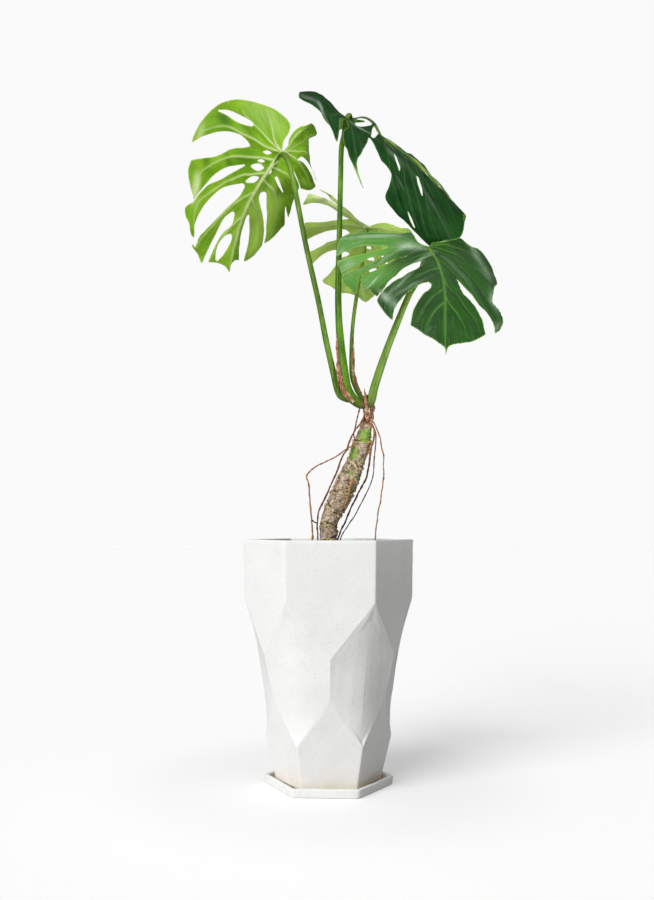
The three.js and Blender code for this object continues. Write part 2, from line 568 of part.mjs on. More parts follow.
// The bent blade: the flat triangles laid on the upper and lower face, and a rim between them.
function bladeShape(blade, thick) {
  const key = ([u, v]) => `${(u + 0).toFixed(2)},${v.toFixed(2)}`.replace("-0.00", "0.00");
  const number = new Map();
  const flat = [];
  const triangles = refine(flatBlade(blade), BLADE.longestEdge).map((triangle) =>
    triangle.map((p) => {
      if (!number.has(key(p))) number.set(key(p), flat.push(p) - 1);
      return number.get(key(p));
    }));
  const faces = [1, -1].map((side) => flat.map(([u, v]) =>
    bladePoint(blade, u, v).addScaledVector(bladeNormal(blade, u, v), (side * thick) / 2)));
  const lower = flat.length;
  const index = [];
  const open = new Set();
  for (const [a, b, c] of triangles) {
    index.push(a, b, c, lower + a, lower + c, lower + b);
    for (const [from, to] of [[a, b], [b, c], [c, a]]) {
      if (!open.delete(`${to} ${from}`)) open.add(`${from} ${to}`);
    }
  }
  for (const edge of open) {
    const [a, b] = edge.split(" ").map(Number);
    index.push(a, lower + a, lower + b, a, lower + b, b);
  }
  return new THREE.BufferGeometry().setFromPoints(faces.flat()).setIndex(index);
}

// ---- the plant, piece by piece ----
const plant = new THREE.Group();
plant.add(meshOf("saucer", saucerShape(), 0xf2f1ee, 0.5));
plant.add(meshOf("pot", potShape(), 0xf1f1ef, 0.7));
plant.add(meshOf("stem", limb(STEM, 12, 30), 0x9a8a70, 0.85));

const stemRoom = solid(limb(STEM, 12, 30, GAP));
plant.add(meshOf("soil", soilShape(stemRoom), 0x4a3526, 0.95));
const rooms = [stemRoom];
for (const [name, lowerSections] of Object.entries(STALKS)) {
  const blade = BLADES[name];
  const bladeRoom = solid(bladeShape(blade, BLADE.thick + 2 * GAP));
  const end = bladePoint(blade, 0, STALK_REACH);
  const sections = [...lowerSections, [end.x, end.y, end.z, STALK_END]];
  const stalk = fitted(limb(sections, 10, 26), [...rooms, bladeRoom]);
  plant.add(meshOf(`leaf_stalk_${name}`, stalk, 0x6f9f3f, 0.5));
  plant.add(meshOf(`leaf_blade_${name}`, bladeShape(blade, BLADE.thick), blade.colour, 0.4));
  rooms.push(solid(limb(sections, 10, 26, GAP)));
}
for (const [name, sections] of Object.entries(SHEATHS)) {
  plant.add(meshOf(name, fitted(strip(sections, 8, 12), rooms), 0x9a6a48, 0.9));
}
for (const [name, points] of Object.entries(ROOTS)) {
  const sections = points.map((p) => [...p, ROOT_RADIUS]);
  const root = limb(sections, 6, Math.round(1.6 * points.length));
  plant.add(meshOf(name, fitted(root, rooms), 0x7a4a30, 0.8));
}

export default plant;
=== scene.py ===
import bpy
import numpy as np
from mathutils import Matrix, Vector


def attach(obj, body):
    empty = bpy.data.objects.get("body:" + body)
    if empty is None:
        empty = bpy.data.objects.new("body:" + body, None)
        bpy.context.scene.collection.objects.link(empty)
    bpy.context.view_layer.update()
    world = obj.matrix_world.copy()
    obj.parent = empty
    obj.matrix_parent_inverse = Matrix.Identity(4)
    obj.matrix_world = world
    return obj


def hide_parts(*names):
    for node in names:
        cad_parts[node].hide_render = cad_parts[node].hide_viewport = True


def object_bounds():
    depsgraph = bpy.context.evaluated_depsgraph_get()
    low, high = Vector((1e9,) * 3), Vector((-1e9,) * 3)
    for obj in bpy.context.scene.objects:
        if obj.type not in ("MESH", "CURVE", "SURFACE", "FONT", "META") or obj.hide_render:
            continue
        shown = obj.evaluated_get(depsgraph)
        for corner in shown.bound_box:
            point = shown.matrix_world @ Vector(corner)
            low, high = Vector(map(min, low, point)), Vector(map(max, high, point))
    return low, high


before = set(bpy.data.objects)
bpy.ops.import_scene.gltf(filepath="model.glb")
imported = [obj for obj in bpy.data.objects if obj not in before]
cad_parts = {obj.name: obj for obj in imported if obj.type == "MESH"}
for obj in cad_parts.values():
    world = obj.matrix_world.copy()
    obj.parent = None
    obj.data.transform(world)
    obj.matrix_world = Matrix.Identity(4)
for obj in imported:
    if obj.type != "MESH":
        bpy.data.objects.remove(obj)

cadBox = [list(corner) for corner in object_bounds()]
mm = 0.001  # the shapes below are drawn in millimetres
view = {"place": (-0.0023, -1.517, 0.398), "lens": 39.4, "sensor": 36, "shiftUp": 75 / 900}


def standCamera(view):
    # level camera looking along +Y; the shift alone brings the object into the frame
    eye = bpy.data.cameras.new("camera")
    eye.lens, eye.sensor_width, eye.shift_y = view["lens"], view["sensor"], view["shiftUp"]
    eye.dof.use_dof = False
    camera = bpy.data.objects.new("camera", eye)
    camera.location = view["place"]
    camera.rotation_euler = (np.pi / 2, 0, 0)
    bpy.context.scene.collection.objects.link(camera)
    bpy.context.scene.camera = camera


standCamera(view)
print("camera stands")


def unit(vectors):
    # each vector divided by its length
    return vectors / np.linalg.norm(vectors, axis=-1, keepdims=True)


def around(count):
    # equal angles once round
    return np.arange(count) * 2 * np.pi / count


def arrow(turn):
    # direction in the plan at an angle from +X: (cos, sin)
    return np.stack([np.cos(turn), np.sin(turn)], -1)


def fade(low, high, values):
    # 0 below low, 1 above high, and 3x² - 2x³ between
    x = np.clip((values - low) / (high - low), 0, 1)
    return x * x * (3 - 2 * x)


def bell(values, middle, half):
    # exp(-x²), x being the distance from the middle divided by the half width
    return np.exp(-((values - middle) / half) ** 2)


def through(row, t):
    # Catmull-Rom: between two stations a cubic of the four nearest; past the ends the row goes on straight
    row, t = np.asarray(row, float), np.asarray(t, float)
    padded = np.concatenate([[2 * row[0] - row[1]], row, [2 * row[-1] - row[-2]]])
    k = np.clip(np.floor(t).astype(int), 0, len(row) - 2)
    f = t - k
    if row.ndim > 1:
        f = f[..., None]
    a, b, c, d = (padded[k + i] for i in range(4))
    return 0.5 * (2 * b + (c - a) * f + (2 * a - 5 * b + 4 * c - d) * f**2 + (3 * b - a - 3 * c + d) * f**3)


def drawn(row, count):
    # a row of stations drawn as a smooth line of count points; also how many stations along each point is
    t = np.linspace(0, len(row) - 1, count)
    return through(row, t), t


def closedCurve(points, perSpan):
    # centripetal Catmull-Rom through closed points: knots a square root of the chord apart, so tips stay sharp
    points = np.asarray(points, float)
    p = [np.roll(points, 1 - i, 0)[:, None] for i in range(4)]
    knot = [np.zeros((len(points), 1, 1))]
    for i in range(3):
        knot.append(knot[-1] + np.sqrt(np.linalg.norm(p[i + 1] - p[i], axis=-1, keepdims=True)) + 1e-6)
    s = knot[1] + (knot[2] - knot[1]) * (np.arange(perSpan) / perSpan)[None, :, None]
    mix = lambda a, b, ta, tb: ((tb - s) * a + (s - ta) * b) / (tb - ta)
    a = [mix(p[i], p[i + 1], knot[i], knot[i + 1]) for i in range(3)]
    b = [mix(a[i], a[i + 1], knot[i], knot[i + 2]) for i in range(2)]
    return mix(b[0], b[1], knot[1], knot[2]).reshape(-1, points.shape[1])


def cloud(points, size, seed, waves=22):
    # smooth noise: a sum of cosines in random directions, their wavelength about `size`; spread about 1
    rng = np.random.default_rng(seed)
    count = points.shape[-1]
    pull = unit(rng.normal(size=(waves, count))) * (2 * np.pi / (size * rng.uniform(0.7, 1.6, (waves, 1))))
    phase = rng.uniform(0, 2 * np.pi, waves)
    total = sum(np.cos(points @ pull[i] + phase[i]) for i in range(waves))
    return total / np.sqrt(waves / 2)


def clouds(points, kinds):
    # clouds added up, each with its height, size and seed
    return sum(height * cloud(points, size, seed) for height, size, seed in kinds)


def patches(rows, columns, closedRows=False):
    # the four corners of each patch of a grid whose rows are rings, anticlockwise from outside when the rings are
    r = np.arange(rows if closedRows else rows - 1)[:, None]
    c = np.arange(columns)[None, :]
    up, right = (r + 1) % rows, (c + 1) % columns
    return np.stack([r * columns + c, r * columns + right, up * columns + right, up * columns + c], -1).reshape(-1, 4)


def capped(grid):
    # a grid of rings with a pole at each open end: the mean of its ring
    rows, columns = grid.shape[:2]
    points = np.concatenate([grid.reshape(-1, 3), grid[[0, -1]].mean(1)])
    c = np.arange(columns)
    right, last, foot = (c + 1) % columns, (rows - 1) * columns, rows * columns
    fan = lambda a, b, pole: np.stack([a, b, np.full(columns, pole)], -1)
    fans = np.concatenate([fan(right, c, foot), fan(last + c, last + right, foot + 1)])
    return points, [patches(rows, columns), fans]


def joined(parts):
    # several capped grids as one mesh: their points one after another, their faces counted on
    points, faces, start = [], [[], []], 0
    for grid in parts:
        some, sets = capped(grid)
        points.append(some)
        for kept, new in zip(faces, sets):
            kept.append(new + start)
        start += len(some)
    return np.concatenate(points), [np.concatenate(sets) for sets in faces]


def withPoles(layers):
    # values on a grid of rings, with the mean of each end ring for its pole
    return {key: np.concatenate([values.ravel(), values[[0, -1]].mean(1)]) for key, values in layers.items()}


def ringStack(spoke, reaches, heights):
    # rings of one plan, each scaled to its reach and lifted to its height
    flat = spoke[None] * reaches[:, None, None]
    return np.concatenate([flat, np.broadcast_to(heights[:, None, None], (len(heights), len(spoke), 1))], -1)


def sideFrame(path):
    # square to a path: across = Y x tangent, facing = tangent x across
    tangent = unit(np.gradient(path, axis=0))
    across = unit(np.cross([0.0, 1.0, 0.0], tangent))
    return across, np.cross(tangent, across)


def ringsAlong(path, radius):
    # rings square to a path: across * cos + facing * sin, times the radius there
    across, facing = sideFrame(path)
    turn = around(radius.shape[1])
    spokes = across[:, None] * np.cos(turn)[None, :, None] + facing[:, None] * np.sin(turn)[None, :, None]
    return path[:, None] + spokes * radius[..., None]


def makePiece(name, points, faceSets, material, slot, nodes, flat=None, layers=None):
    # puts points (mm) and faces into a mesh that rides on the frame and stands for the nodes
    loops = np.concatenate([faces.ravel() for faces in faceSets]).astype(np.int32)
    sizes = np.concatenate([np.full(len(faces), faces.shape[1]) for faces in faceSets])
    mesh = bpy.data.meshes.new(name)
    mesh.vertices.add(len(points))
    mesh.vertices.foreach_set("co", (points * mm).astype(np.float32).ravel())
    mesh.loops.add(len(loops))
    mesh.loops.foreach_set("vertex_index", loops)
    mesh.polygons.add(len(sizes))
    mesh.polygons.foreach_set("loop_start", (np.cumsum(sizes) - sizes).astype(np.int32))
    mesh.update(calc_edges=True)
    mesh.validate()
    mesh.polygons.foreach_set("use_smooth", np.ones(len(mesh.polygons), bool))
    if flat is not None:
        mesh.uv_layers.new(name="flat").data.foreach_set("uv", flat[loops].astype(np.float32).ravel())
    for layer, values in (layers or {}).items():
        mesh.attributes.new(layer, "FLOAT", "POINT").data.foreach_set("value", values.astype(np.float32).ravel())
    mesh.materials.append(material)
    piece = bpy.data.objects.new(name, mesh)
    bpy.context.scene.collection.objects.link(piece)
    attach(piece, "root")
    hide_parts(*nodes)
    print(name, len(points), "points", len(sizes), "faces")


def paint(red, green, blue):
    # screen colour 0-255 to linear light: ((c + 0.055) / 1.055) ^ 2.4, or c / 12.92 where it is very dark
    c = np.array([red, green, blue]) / 255
    linear = np.where(c <= 0.04045, c / 12.92, ((c + 0.055) / 1.055) ** 2.4)
    return (*linear.tolist(), 1.0)


def grey(value):
    # the same linear light in each channel
    return (value, value, value, 1)


def newFinish(name, sockets):
    # a material whose Principled shader has these constants
    finish = bpy.data.materials.new(name)
    finish.use_nodes = True
    tree = finish.node_tree
    shader = tree.nodes["Principled BSDF"]
    for socket, value in sockets.items():
        shader.inputs[socket].default_value = value
    return finish, tree, shader


def add(tree, kind, inputs=None, **settings):
    # one node: settings are its own properties, inputs are values or other nodes' outputs
    node = tree.nodes.new("ShaderNode" + kind)
    for key, value in settings.items():
        setattr(node, key, value)
    for key, value in (inputs or {}).items():
        if isinstance(value, bpy.types.NodeSocket):
            tree.links.new(value, node.inputs[key])
        else:
            node.inputs[key].default_value = value
    return node


def mixed(tree, amount, a, b):
    # colour a turned into colour b by an amount
    return add(tree, "Mix", {0: amount, 6: a, 7: b}, data_type="RGBA").outputs[2]


def times(tree, a, b):
    # product of two numbers
    return add(tree, "Math", {0: a, 1: b}, operation="MULTIPLY").outputs[0]


def plus(tree, a, b):
    # sum of two numbers
    return add(tree, "Math", {0: a, 1: b}, operation="ADD").outputs[0]


def spread(tree, value, low, high, to0=0.0, to1=1.0):
    # a number from low..high carried to to0..to1, smooth at both ends
    inputs = {"Value": value, "From Min": low, "From Max": high, "To Min": to0, "To Max": to1}
    return add(tree, "MapRange", inputs, interpolation_type="SMOOTHSTEP").outputs[0]


def turned(tree, a, b, value, low, high, to0=0.0, to1=1.0):
    # colour a turned into colour b while a number goes from low to high
    return mixed(tree, spread(tree, value, low, high, to0, to1), a, b)


def ownPlace(tree):
    # the point in the object's own coordinates, in metres
    return add(tree, "TexCoord").outputs["Object"]


def layer(tree, name):
    # a value painted on the mesh
    return add(tree, "Attribute", attribute_name=name).outputs["Fac"]


def noise(tree, where, scale, detail=3.0, roughness=0.55):
    # fractal noise about 0.5
    inputs = {"Vector": where, "Scale": scale, "Detail": detail, "Roughness": roughness}
    return add(tree, "TexNoise", inputs).outputs["Fac"]


def stretched(tree, where, scale):
    # coordinates scaled differently along each axis
    return add(tree, "Mapping", {"Vector": where, "Scale": scale}).outputs[0]


def strands(tree, where, scale, detail=4, roughness=0.6):
    # noise drawn out along the axis with the smallest scale
    return noise(tree, stretched(tree, where, scale), 1, detail, roughness)


def dress(tree, shader, body, height, strength, distance):
    # the shader takes its colour from body and its bump from a height
    tree.links.new(body, shader.inputs["Base Color"])
    bump = add(tree, "Bump", {"Height": height, "Strength": strength, "Distance": distance})
    tree.links.new(bump.outputs[0], shader.inputs["Normal"])


pot = {
    "turn": 1.2, "foot": 6.3, "rim": 376.0, "wall": 10.0, "floor": 12.0, "drain": 11.0, "lip": 2.0,
    # height above the foot and distance from the axis, on a corner and on the middle of a face
    "corner": [(0, 80.6), (67, 97), (110, 98.6), (155, 104.6), (215, 114.4), (281, 129.8), (367.7, 131)],
    "middle": [(0, 69.8), (131, 96), (146, 99.4), (163, 103.3), (181, 107.4), (199, 111.5), (367.7, 113.4)],
    # rows of each band of levels, more of them beside the two creases, and columns, more of them near a corner
    "bands": [(0, 1, 42), (1, 5, 110), (5, 6, 46)],
    "creases": {1: [-0.03, -0.012, 0.02, 0.05], 5: [-0.05, -0.02, 0.008, 0.02]},
    "columns": 19, "nearCorner": [0.004, 0.012],
    "ridgeSoft": 3.0, "ridgeReach": 0.5, "edgeSoft": 0.45, "edgeReach": 0.03,
    "strips": [-5, 5, 14, 21, 31, 38, 48, 56, 68, 90], "stripDepth": 0.22, "stripFan": 62, "stripReach": 56,
    "stripWander": 1.6, "wanderHeight": 23, "clouds": [(0.16, 34, 5), (0.06, 9, 6)], "inset": 0.2, "insetShare": 0.8,
    "footRound": 1.4, "footInset": 2, "lipInset": 0.3, "wallBreak": 300, "upperSlope": 0.002, "lowerSlope": 0.155,
    "floorRings": (60, 30), "stainEnd": 52, "stainFull": 8, "stain": 0.3,
}


def potLevel(rows, t):
    # height and reach at level t: straight in the lowest and highest band, one smooth curve in the hollow facets
    rows = np.array(rows, float)
    hollow = through(rows[1:6], np.clip(t - 1, 0, 4))
    low = rows[0] + (rows[1] - rows[0]) * np.clip(t, 0, 1)[:, None]
    high = rows[5] + (rows[6] - rows[5]) * np.clip(t - 5, 0, 1)[:, None]
    return np.where((t < 1)[:, None], low, np.where((t > 5)[:, None], high, hollow))


def potOutside(pot):
    # rows of level t; columns run from each corner (s = 0) to the middle of a face (s = 1) and on to the next
    # corner; a point lies on the straight line between them
    bands = [np.linspace(*band) for band in pot["bands"]]
    creases = [level + np.array(beside) for level, beside in pot["creases"].items()]
    t = np.unique(np.round(np.concatenate(bands + creases), 4))
    near = np.array(pot["nearCorner"])
    s = np.unique(np.concatenate([np.linspace(0, 1, pot["columns"]), near, 1 - near]))
    corner, middle = potLevel(pot["corner"], t), potLevel(pot["middle"], t)
    rising, falling = s[:-1], s[:0:-1]
    along = np.tile(np.concatenate([rising, falling]), 6)
    face = np.repeat(np.arange(6), 2 * len(rising))
    ahead = np.tile(np.repeat([0, 1], len(rising)), 6)
    cornerTurn = np.radians(pot["turn"] + 60 * (face + ahead))
    middleTurn = np.radians(pot["turn"] + 60 * face + 30)
    flatPlace = (corner[:, 1, None, None] * arrow(cornerTurn) * (1 - along)[:, None]
                 + middle[:, 1, None, None] * arrow(middleTurn) * along[:, None])
    z = pot["foot"] + corner[:, 0, None] * (1 - along) + middle[:, 0, None] * along
    # corners are rounded off, more so in the hollow facets: soft * (1 - s / reach)²
    hollow = (fade(1, 1.25, t) * fade(5, 4.6, t))[:, None]
    soft = pot["edgeSoft"] + (pot["ridgeSoft"] - pot["edgeSoft"]) * hollow
    reach = pot["edgeReach"] + (pot["ridgeReach"] - pot["edgeReach"]) * hollow
    dent = soft * np.clip(1 - along / reach, 0, 1) ** 2
    # planed strips start together at the upper corner of a hollow facet and turn upright below it:
    # x = X (1 - exp(-h / fan)) for a strip X from the ridge at depth h
    h = np.maximum(pot["foot"] + pot["corner"][5][0] - z + 5, 1)
    wander = pot["stripWander"] * np.sin(z / pot["wanderHeight"] + 2.1 * face + 5 * ahead)
    fan = along * pot["stripReach"] / (1 - np.exp(-h / pot["stripFan"])) + wander
    edges = np.array(pot["strips"], float)
    strip = np.clip(np.searchsorted(edges, fan) - 1, 0, len(edges) - 2)
    f = np.clip((fan - edges[strip]) / (edges[strip + 1] - edges[strip]), 0, 1)
    depth = 0.8 + 0.5 * np.sin(strip * 2.4 + 1.7 * face + 3 * ahead)
    inKite = ((t > 1) & (t < 5))[:, None] * fade(1.0, 1.5, t)[:, None] * fade(5.0, 4.7, t)[:, None]
    dent = dent + inKite * pot["stripDepth"] * depth * 4 * f * (1 - f) * fade(1, 0.9, along)
    outward = unit(flatPlace)
    solid = np.concatenate([flatPlace - outward * dent[..., None], z[..., None]], -1)
    rough = clouds(solid, pot["clouds"])
    calm = np.minimum(fade(0, 0.1, t), fade(6, 5.9, t))[:, None]
    solid[..., :2] -= outward * (calm * (pot["inset"] + rough) * pot["insetShare"])[..., None]
    return solid, cornerTurn, middleTurn, along


def potShape(pot):
    # the outside, a quarter-round lip, the inner wall, the floor and the drain hole as one closed loop of rows;
    # every row but the outside's is a reach and a height
    outside, cornerTurn, middleTurn, along = potOutside(pot)
    outside[0, :, 2] += pot["footRound"]
    spoke = arrow(cornerTurn) * (1 - along)[:, None] + arrow(middleTurn) * (along * np.cos(np.pi / 6))[:, None]
    foot, rim, top, lip = pot["foot"], pot["rim"], pot["corner"][6][1], pot["lip"]
    floor, bend, inside = foot + pot["floor"], pot["wallBreak"], top - pot["wall"] / np.cos(np.pi / 6)
    under = [(pot["drain"], foot), (pot["corner"][0][1] - pot["footInset"], foot)]
    quarter = np.linspace(0.2, 1, 5) * np.pi / 2
    rows = [(top - lip + lip * np.cos(a) - pot["lipInset"], rim - lip + lip * np.sin(a)) for a in quarter]
    rows += [(inside + lip - lip * np.cos(a), rim - lip + lip * np.sin(a)) for a in quarter[::-1]]
    rows += [(inside - (rim - z) * pot["upperSlope"], z) for z in np.linspace(rim - 4, bend, 12)]
    rows += [(inside - (bend - z) * pot["lowerSlope"], z) for z in np.linspace(bend - 10, floor, 10)]
    rows += [(reach, floor) for reach in (*pot["floorRings"], pot["drain"])]
    return np.concatenate([ringStack(spoke, *np.array(under).T), outside, ringStack(spoke, *np.array(rows).T)])


potTint = {
    "body": paint(246, 246, 244), "cloud": paint(242, 242, 240), "grain": paint(230, 230, 227),
    "speck": paint(128, 120, 106), "fleck": paint(206, 203, 196), "stain": paint(214, 196, 160),
    # scale, size, share and colour of the dots
    "dots": [(120, 0.07, 0.6, "speck"), (340, 0.15, 0.66, "speck"), (560, 0.24, 0.4, "fleck")],
}


def ceramicFinish(tint):
    # matt white stoneware: cloudy off-white, dark pinholes of two sizes, light flecks, a stain by the foot, and
    # brushed scratches in its roughness and relief
    finish, tree, shader = newFinish("white_stoneware", {"Specular IOR Level": 0.35, "Roughness": 0.78})
    place = ownPlace(tree)
    body = turned(tree, tint["body"], tint["cloud"], noise(tree, place, 14, 4), 0.35, 0.65)
    grain = noise(tree, place, 520, 2, 0.7)
    body = turned(tree, body, tint["grain"], grain, 0.58, 0.8, 0, 0.35)
    for scale, size, share, colour in tint["dots"]:
        cells = add(tree, "TexVoronoi", {"Vector": place, "Scale": scale, "Randomness": 1.0})
        lit = add(tree, "SeparateColor", {0: cells.outputs["Color"]}).outputs[0]
        dot = spread(tree, cells.outputs["Distance"], size, size * 0.5)
        body = mixed(tree, times(tree, dot, spread(tree, lit, share, share + 0.05)), body, tint[colour])
    blot = noise(tree, place, 45, 5, 0.6)
    damp = times(tree, layer(tree, "stain"), spread(tree, blot, 0.25, 0.7, 0.35, 1))
    body = mixed(tree, damp, body, tint["stain"])
    brush = strands(tree, place, (900, 900, 90), 3)
    tooth = plus(tree, times(tree, brush, 0.5), times(tree, grain, 0.7))
    tree.links.new(spread(tree, tooth, 0.3, 0.9, 0.68, 0.88), shader.inputs["Roughness"])
    dress(tree, shader, body, tooth, 0.4, 0.0006)
    return finish


potFinish = ceramicFinish(potTint)
potRows = potShape(pot)
potPoints = potRows.reshape(-1, 3)
potStain = pot["stain"] * fade(pot["stainEnd"], pot["stainFull"], potPoints[:, 2])
makePiece("pot_body", potPoints, [patches(*potRows.shape[:2], closedRows=True)], potFinish, "pot", ["pot"],
          layers={"stain": potStain})

saucer = {
    "corner": 100.0, "footCorner": 98.6, "rim": 13.4, "wall": 6.0, "floor": 4.4, "turn": -3.4,
    "ribInner": 32, "ribOuter": 86, "ribHalf": 3.5, "ribHeight": 1.6, "perSide": 26, "sideRows": 9, "bedRows": 44,
    "cornerSoft": 0.008, "cornerReach": 0.03, "wobble": 0.12, "stainEnd": 13.2, "stainFull": 10,
}


def saucerShape(saucer):
    # hexagonal rows from the underside's middle, round the rim and over the floor back to the middle; ribs
    # swell from the floor along three spokes. The stain lies on the rows inside the rim
    s = np.linspace(0, 1, saucer["perSide"], endpoint=False)
    ends = arrow(np.radians(saucer["turn"] + 60 * np.arange(6)))
    hexagon = ends[:, None] * (1 - s)[None, :, None] + np.roll(ends, -1, 0)[:, None] * s[None, :, None]
    soft = saucer["cornerSoft"] * bell(np.minimum(s, 1 - s), 0, saucer["cornerReach"])
    spoke = hexagon.reshape(-1, 2) * (1 - np.tile(soft, 6))[:, None]
    corner, top, floor, foot = saucer["corner"], saucer["rim"], saucer["floor"], saucer["footCorner"]
    inner = corner - saucer["wall"] / np.cos(np.pi / 6)
    under = [(5, 0), (60, 0), (foot - 3, 0), (foot - 1.2, 0.3), (foot - 0.3, 1.1), (foot, 2.2)]
    climb = np.linspace(0.12, 1, saucer["sideRows"])
    side = [(foot + (corner - foot) * k, 2.2 + (top - 3.4) * k) for k in climb]
    lip = [(corner - 0.25, top - 0.6), (corner - 0.9, top - 0.12), (corner - 1.8, top),
           (inner + 1.5, top), (inner + 0.7, top - 0.15), (inner + 0.15, top - 0.7)]
    wall = [(inner, top - 1.6), (inner - 0.7, floor + 3), (inner - 1.6, floor + 1.2), (inner - 3.4, floor + 0.25)]
    bed = [(inner - 6, floor)] + [(reach, floor) for reach in np.linspace(inner - 8, 4, saucer["bedRows"])]
    outline = np.array(under + side + lip + wall + bed)
    rows = ringStack(spoke, *outline.T)
    number = np.arange(len(outline))[:, None]
    onBed, inside = number >= len(outline) - len(bed), number >= len(outline) - len(wall + bed)
    for k in range(3):
        x, y = arrow(np.radians(saucer["turn"] + 120 * k))
        out, off = rows[..., 0] * x + rows[..., 1] * y, np.abs(rows[..., 1] * x - rows[..., 0] * y)
        bar = fade(saucer["ribHalf"] + 0.8, saucer["ribHalf"] - 0.8, off)
        bar = bar * fade(saucer["ribInner"] - 1, saucer["ribInner"] + 1, out)
        bar = bar * fade(saucer["ribOuter"] + 1, saucer["ribOuter"] - 1, out)
        rows[..., 2] += np.where(onBed, bar * saucer["ribHeight"], 0)
    rows[..., 2] += np.where(rows[..., 2] > top - 1, saucer["wobble"] * cloud(rows, 26, 12), 0)
    return rows, {"stain": inside * fade(saucer["stainEnd"], saucer["stainFull"], rows[..., 2])}


saucerRows, saucerLayers = saucerShape(saucer)
makePiece("saucer_tray", *capped(saucerRows), potFinish, "saucer", ["saucer"], layers=withPoles(saucerLayers))

soil = {
    "top": 349.0, "limit": 353, "depth": 18.3, "reach": 118.6, "foot": 68.0, "columns": 252, "rows": 92,
    # height and reach of the side where it follows the pot's wall, and its rows, which end below the top
    "wall": [(220, 104), (290, 117), (350, 118.6)], "wallRows": 6, "wallEnd": 1.5,
    "sink": 1.6, "mound": 2.5, "moundReach": 24,
}


def soilShape(soil):
    # a hexagonal bed whose sides follow the pot; the top is slow waves, round crumbs and fine grit, with a mound
    # round the stem
    turn = np.radians(pot["turn"] + np.arange(soil["columns"]) * 360 / soil["columns"])
    face = (turn - np.radians(pot["turn"])) % (np.pi / 3) - np.pi / 6
    wallHeights, wallReaches = np.array(soil["wall"]).T
    climb = np.linspace(wallHeights[0], soil["top"] - soil["wallEnd"], soil["wallRows"])
    inward = soil["reach"] * np.linspace(0.99, 0.012, soil["rows"])
    reaches = [[soil["foot"] * 0.3, soil["foot"]], np.interp(climb, wallHeights, wallReaches), inward]
    heights = [[soil["depth"]] * 2, climb, np.full(soil["rows"], soil["top"])]
    hexagon = arrow(turn) * (np.cos(np.pi / 6) / np.cos(face))[:, None]
    rows = ringStack(hexagon, np.concatenate(reaches), np.concatenate(heights))
    top = rows[-soil["rows"]:]
    flat = top[..., :2]
    crumbs = 1.3 * cloud(flat, 42, 3) + 0.8 * np.abs(cloud(flat, 9, 4)) + 0.5 * cloud(flat, 4, 8)
    mound = soil["mound"] * bell(np.hypot(top[..., 0], top[..., 1]), 0, soil["moundReach"])
    top[..., 2] += (crumbs - soil["sink"]) * fade(1, 0.93, inward / soil["reach"])[:, None] + mound
    top[..., 2] = np.minimum(top[..., 2], soil["limit"])
    return rows


chips = {
    "count": 320, "seed": 31, "reach": 108, "sizes": (2.2, 6.5), "lean": 0.35, "long": 1.25, "wide": 0.8, "sides": 8,
    # how wide each ring is and its height, in sizes of the chip, and the chip's height on the soil
    "rings": [(0.55, -0.3), (1.0, -0.16), (0.92, 0.14), (0.45, 0.26)], "sit": 0.6,
}


def chipShapes(chips):
    # bark chips: small uneven ovals of four rings, laid flat at random turns and leans
    rng = np.random.default_rng(chips["seed"])
    count = chips["count"]
    reach, bearing = chips["reach"] * np.sqrt(rng.uniform(0.03, 0.86, count)), rng.uniform(0, 2 * np.pi, count)
    size = rng.uniform(*chips["sizes"], count)
    lean, turn = rng.normal(0, chips["lean"], (count, 2)), rng.uniform(0, 2 * np.pi, count)
    oval = arrow(around(chips["sides"])) * [chips["long"], chips["wide"]]
    local = ringStack(oval, *np.array(chips["rings"]).T)[None]
    local = local * size[:, None, None, None] * rng.uniform(0.78, 1.22, (count, 1, chips["sides"], 1))
    z = local[..., 2] + local[..., 0] * lean[:, :1, None] + local[..., 1] * lean[:, 1:, None]
    c, s = np.cos(turn)[:, None, None], np.sin(turn)[:, None, None]
    x = local[..., 0] * c - local[..., 1] * s + (reach * np.cos(bearing))[:, None, None]
    y = local[..., 0] * s + local[..., 1] * c + (reach * np.sin(bearing))[:, None, None]
    return np.stack([x, y, z + soil["top"] + chips["sit"]], -1)


def soilFinish():
    # dark potting mix: brown crumbs of three tones with rough grain, and browner chips
    finish, tree, shader = newFinish("potting_mix", {"Specular IOR Level": 0.2, "Roughness": 0.95})
    place = ownPlace(tree)
    crumbs = add(tree, "TexVoronoi", {"Vector": place, "Scale": 260.0})
    tone = add(tree, "SeparateColor", {0: crumbs.outputs["Color"]}).outputs[1]
    body = turned(tree, paint(52, 37, 26), paint(96, 70, 48), tone, 0.2, 0.8)
    body = turned(tree, body, paint(66, 48, 33), noise(tree, place, 60, 4), 0.4, 0.65)
    chip = turned(tree, paint(66, 44, 30), paint(112, 82, 56), noise(tree, place, 190, 4), 0.3, 0.7)
    body = mixed(tree, layer(tree, "chip"), body, chip)
    grit = noise(tree, place, 700, 4, 0.7)
    dress(tree, shader, body, plus(tree, grit, crumbs.outputs["Distance"]), 0.8, 0.001)
    return finish


soilRows = soilShape(soil)
soilPoints, soilFaces = joined([soilRows, *chipShapes(chips)])
isChip = (np.arange(len(soilPoints)) >= soilRows.shape[0] * soilRows.shape[1] + 2).astype(float)
makePiece("potting_soil", soilPoints, soilFaces, soilFinish(), "soil", ["soil"], layers={"chip": isChip})
print("pot, saucer and soil stand")

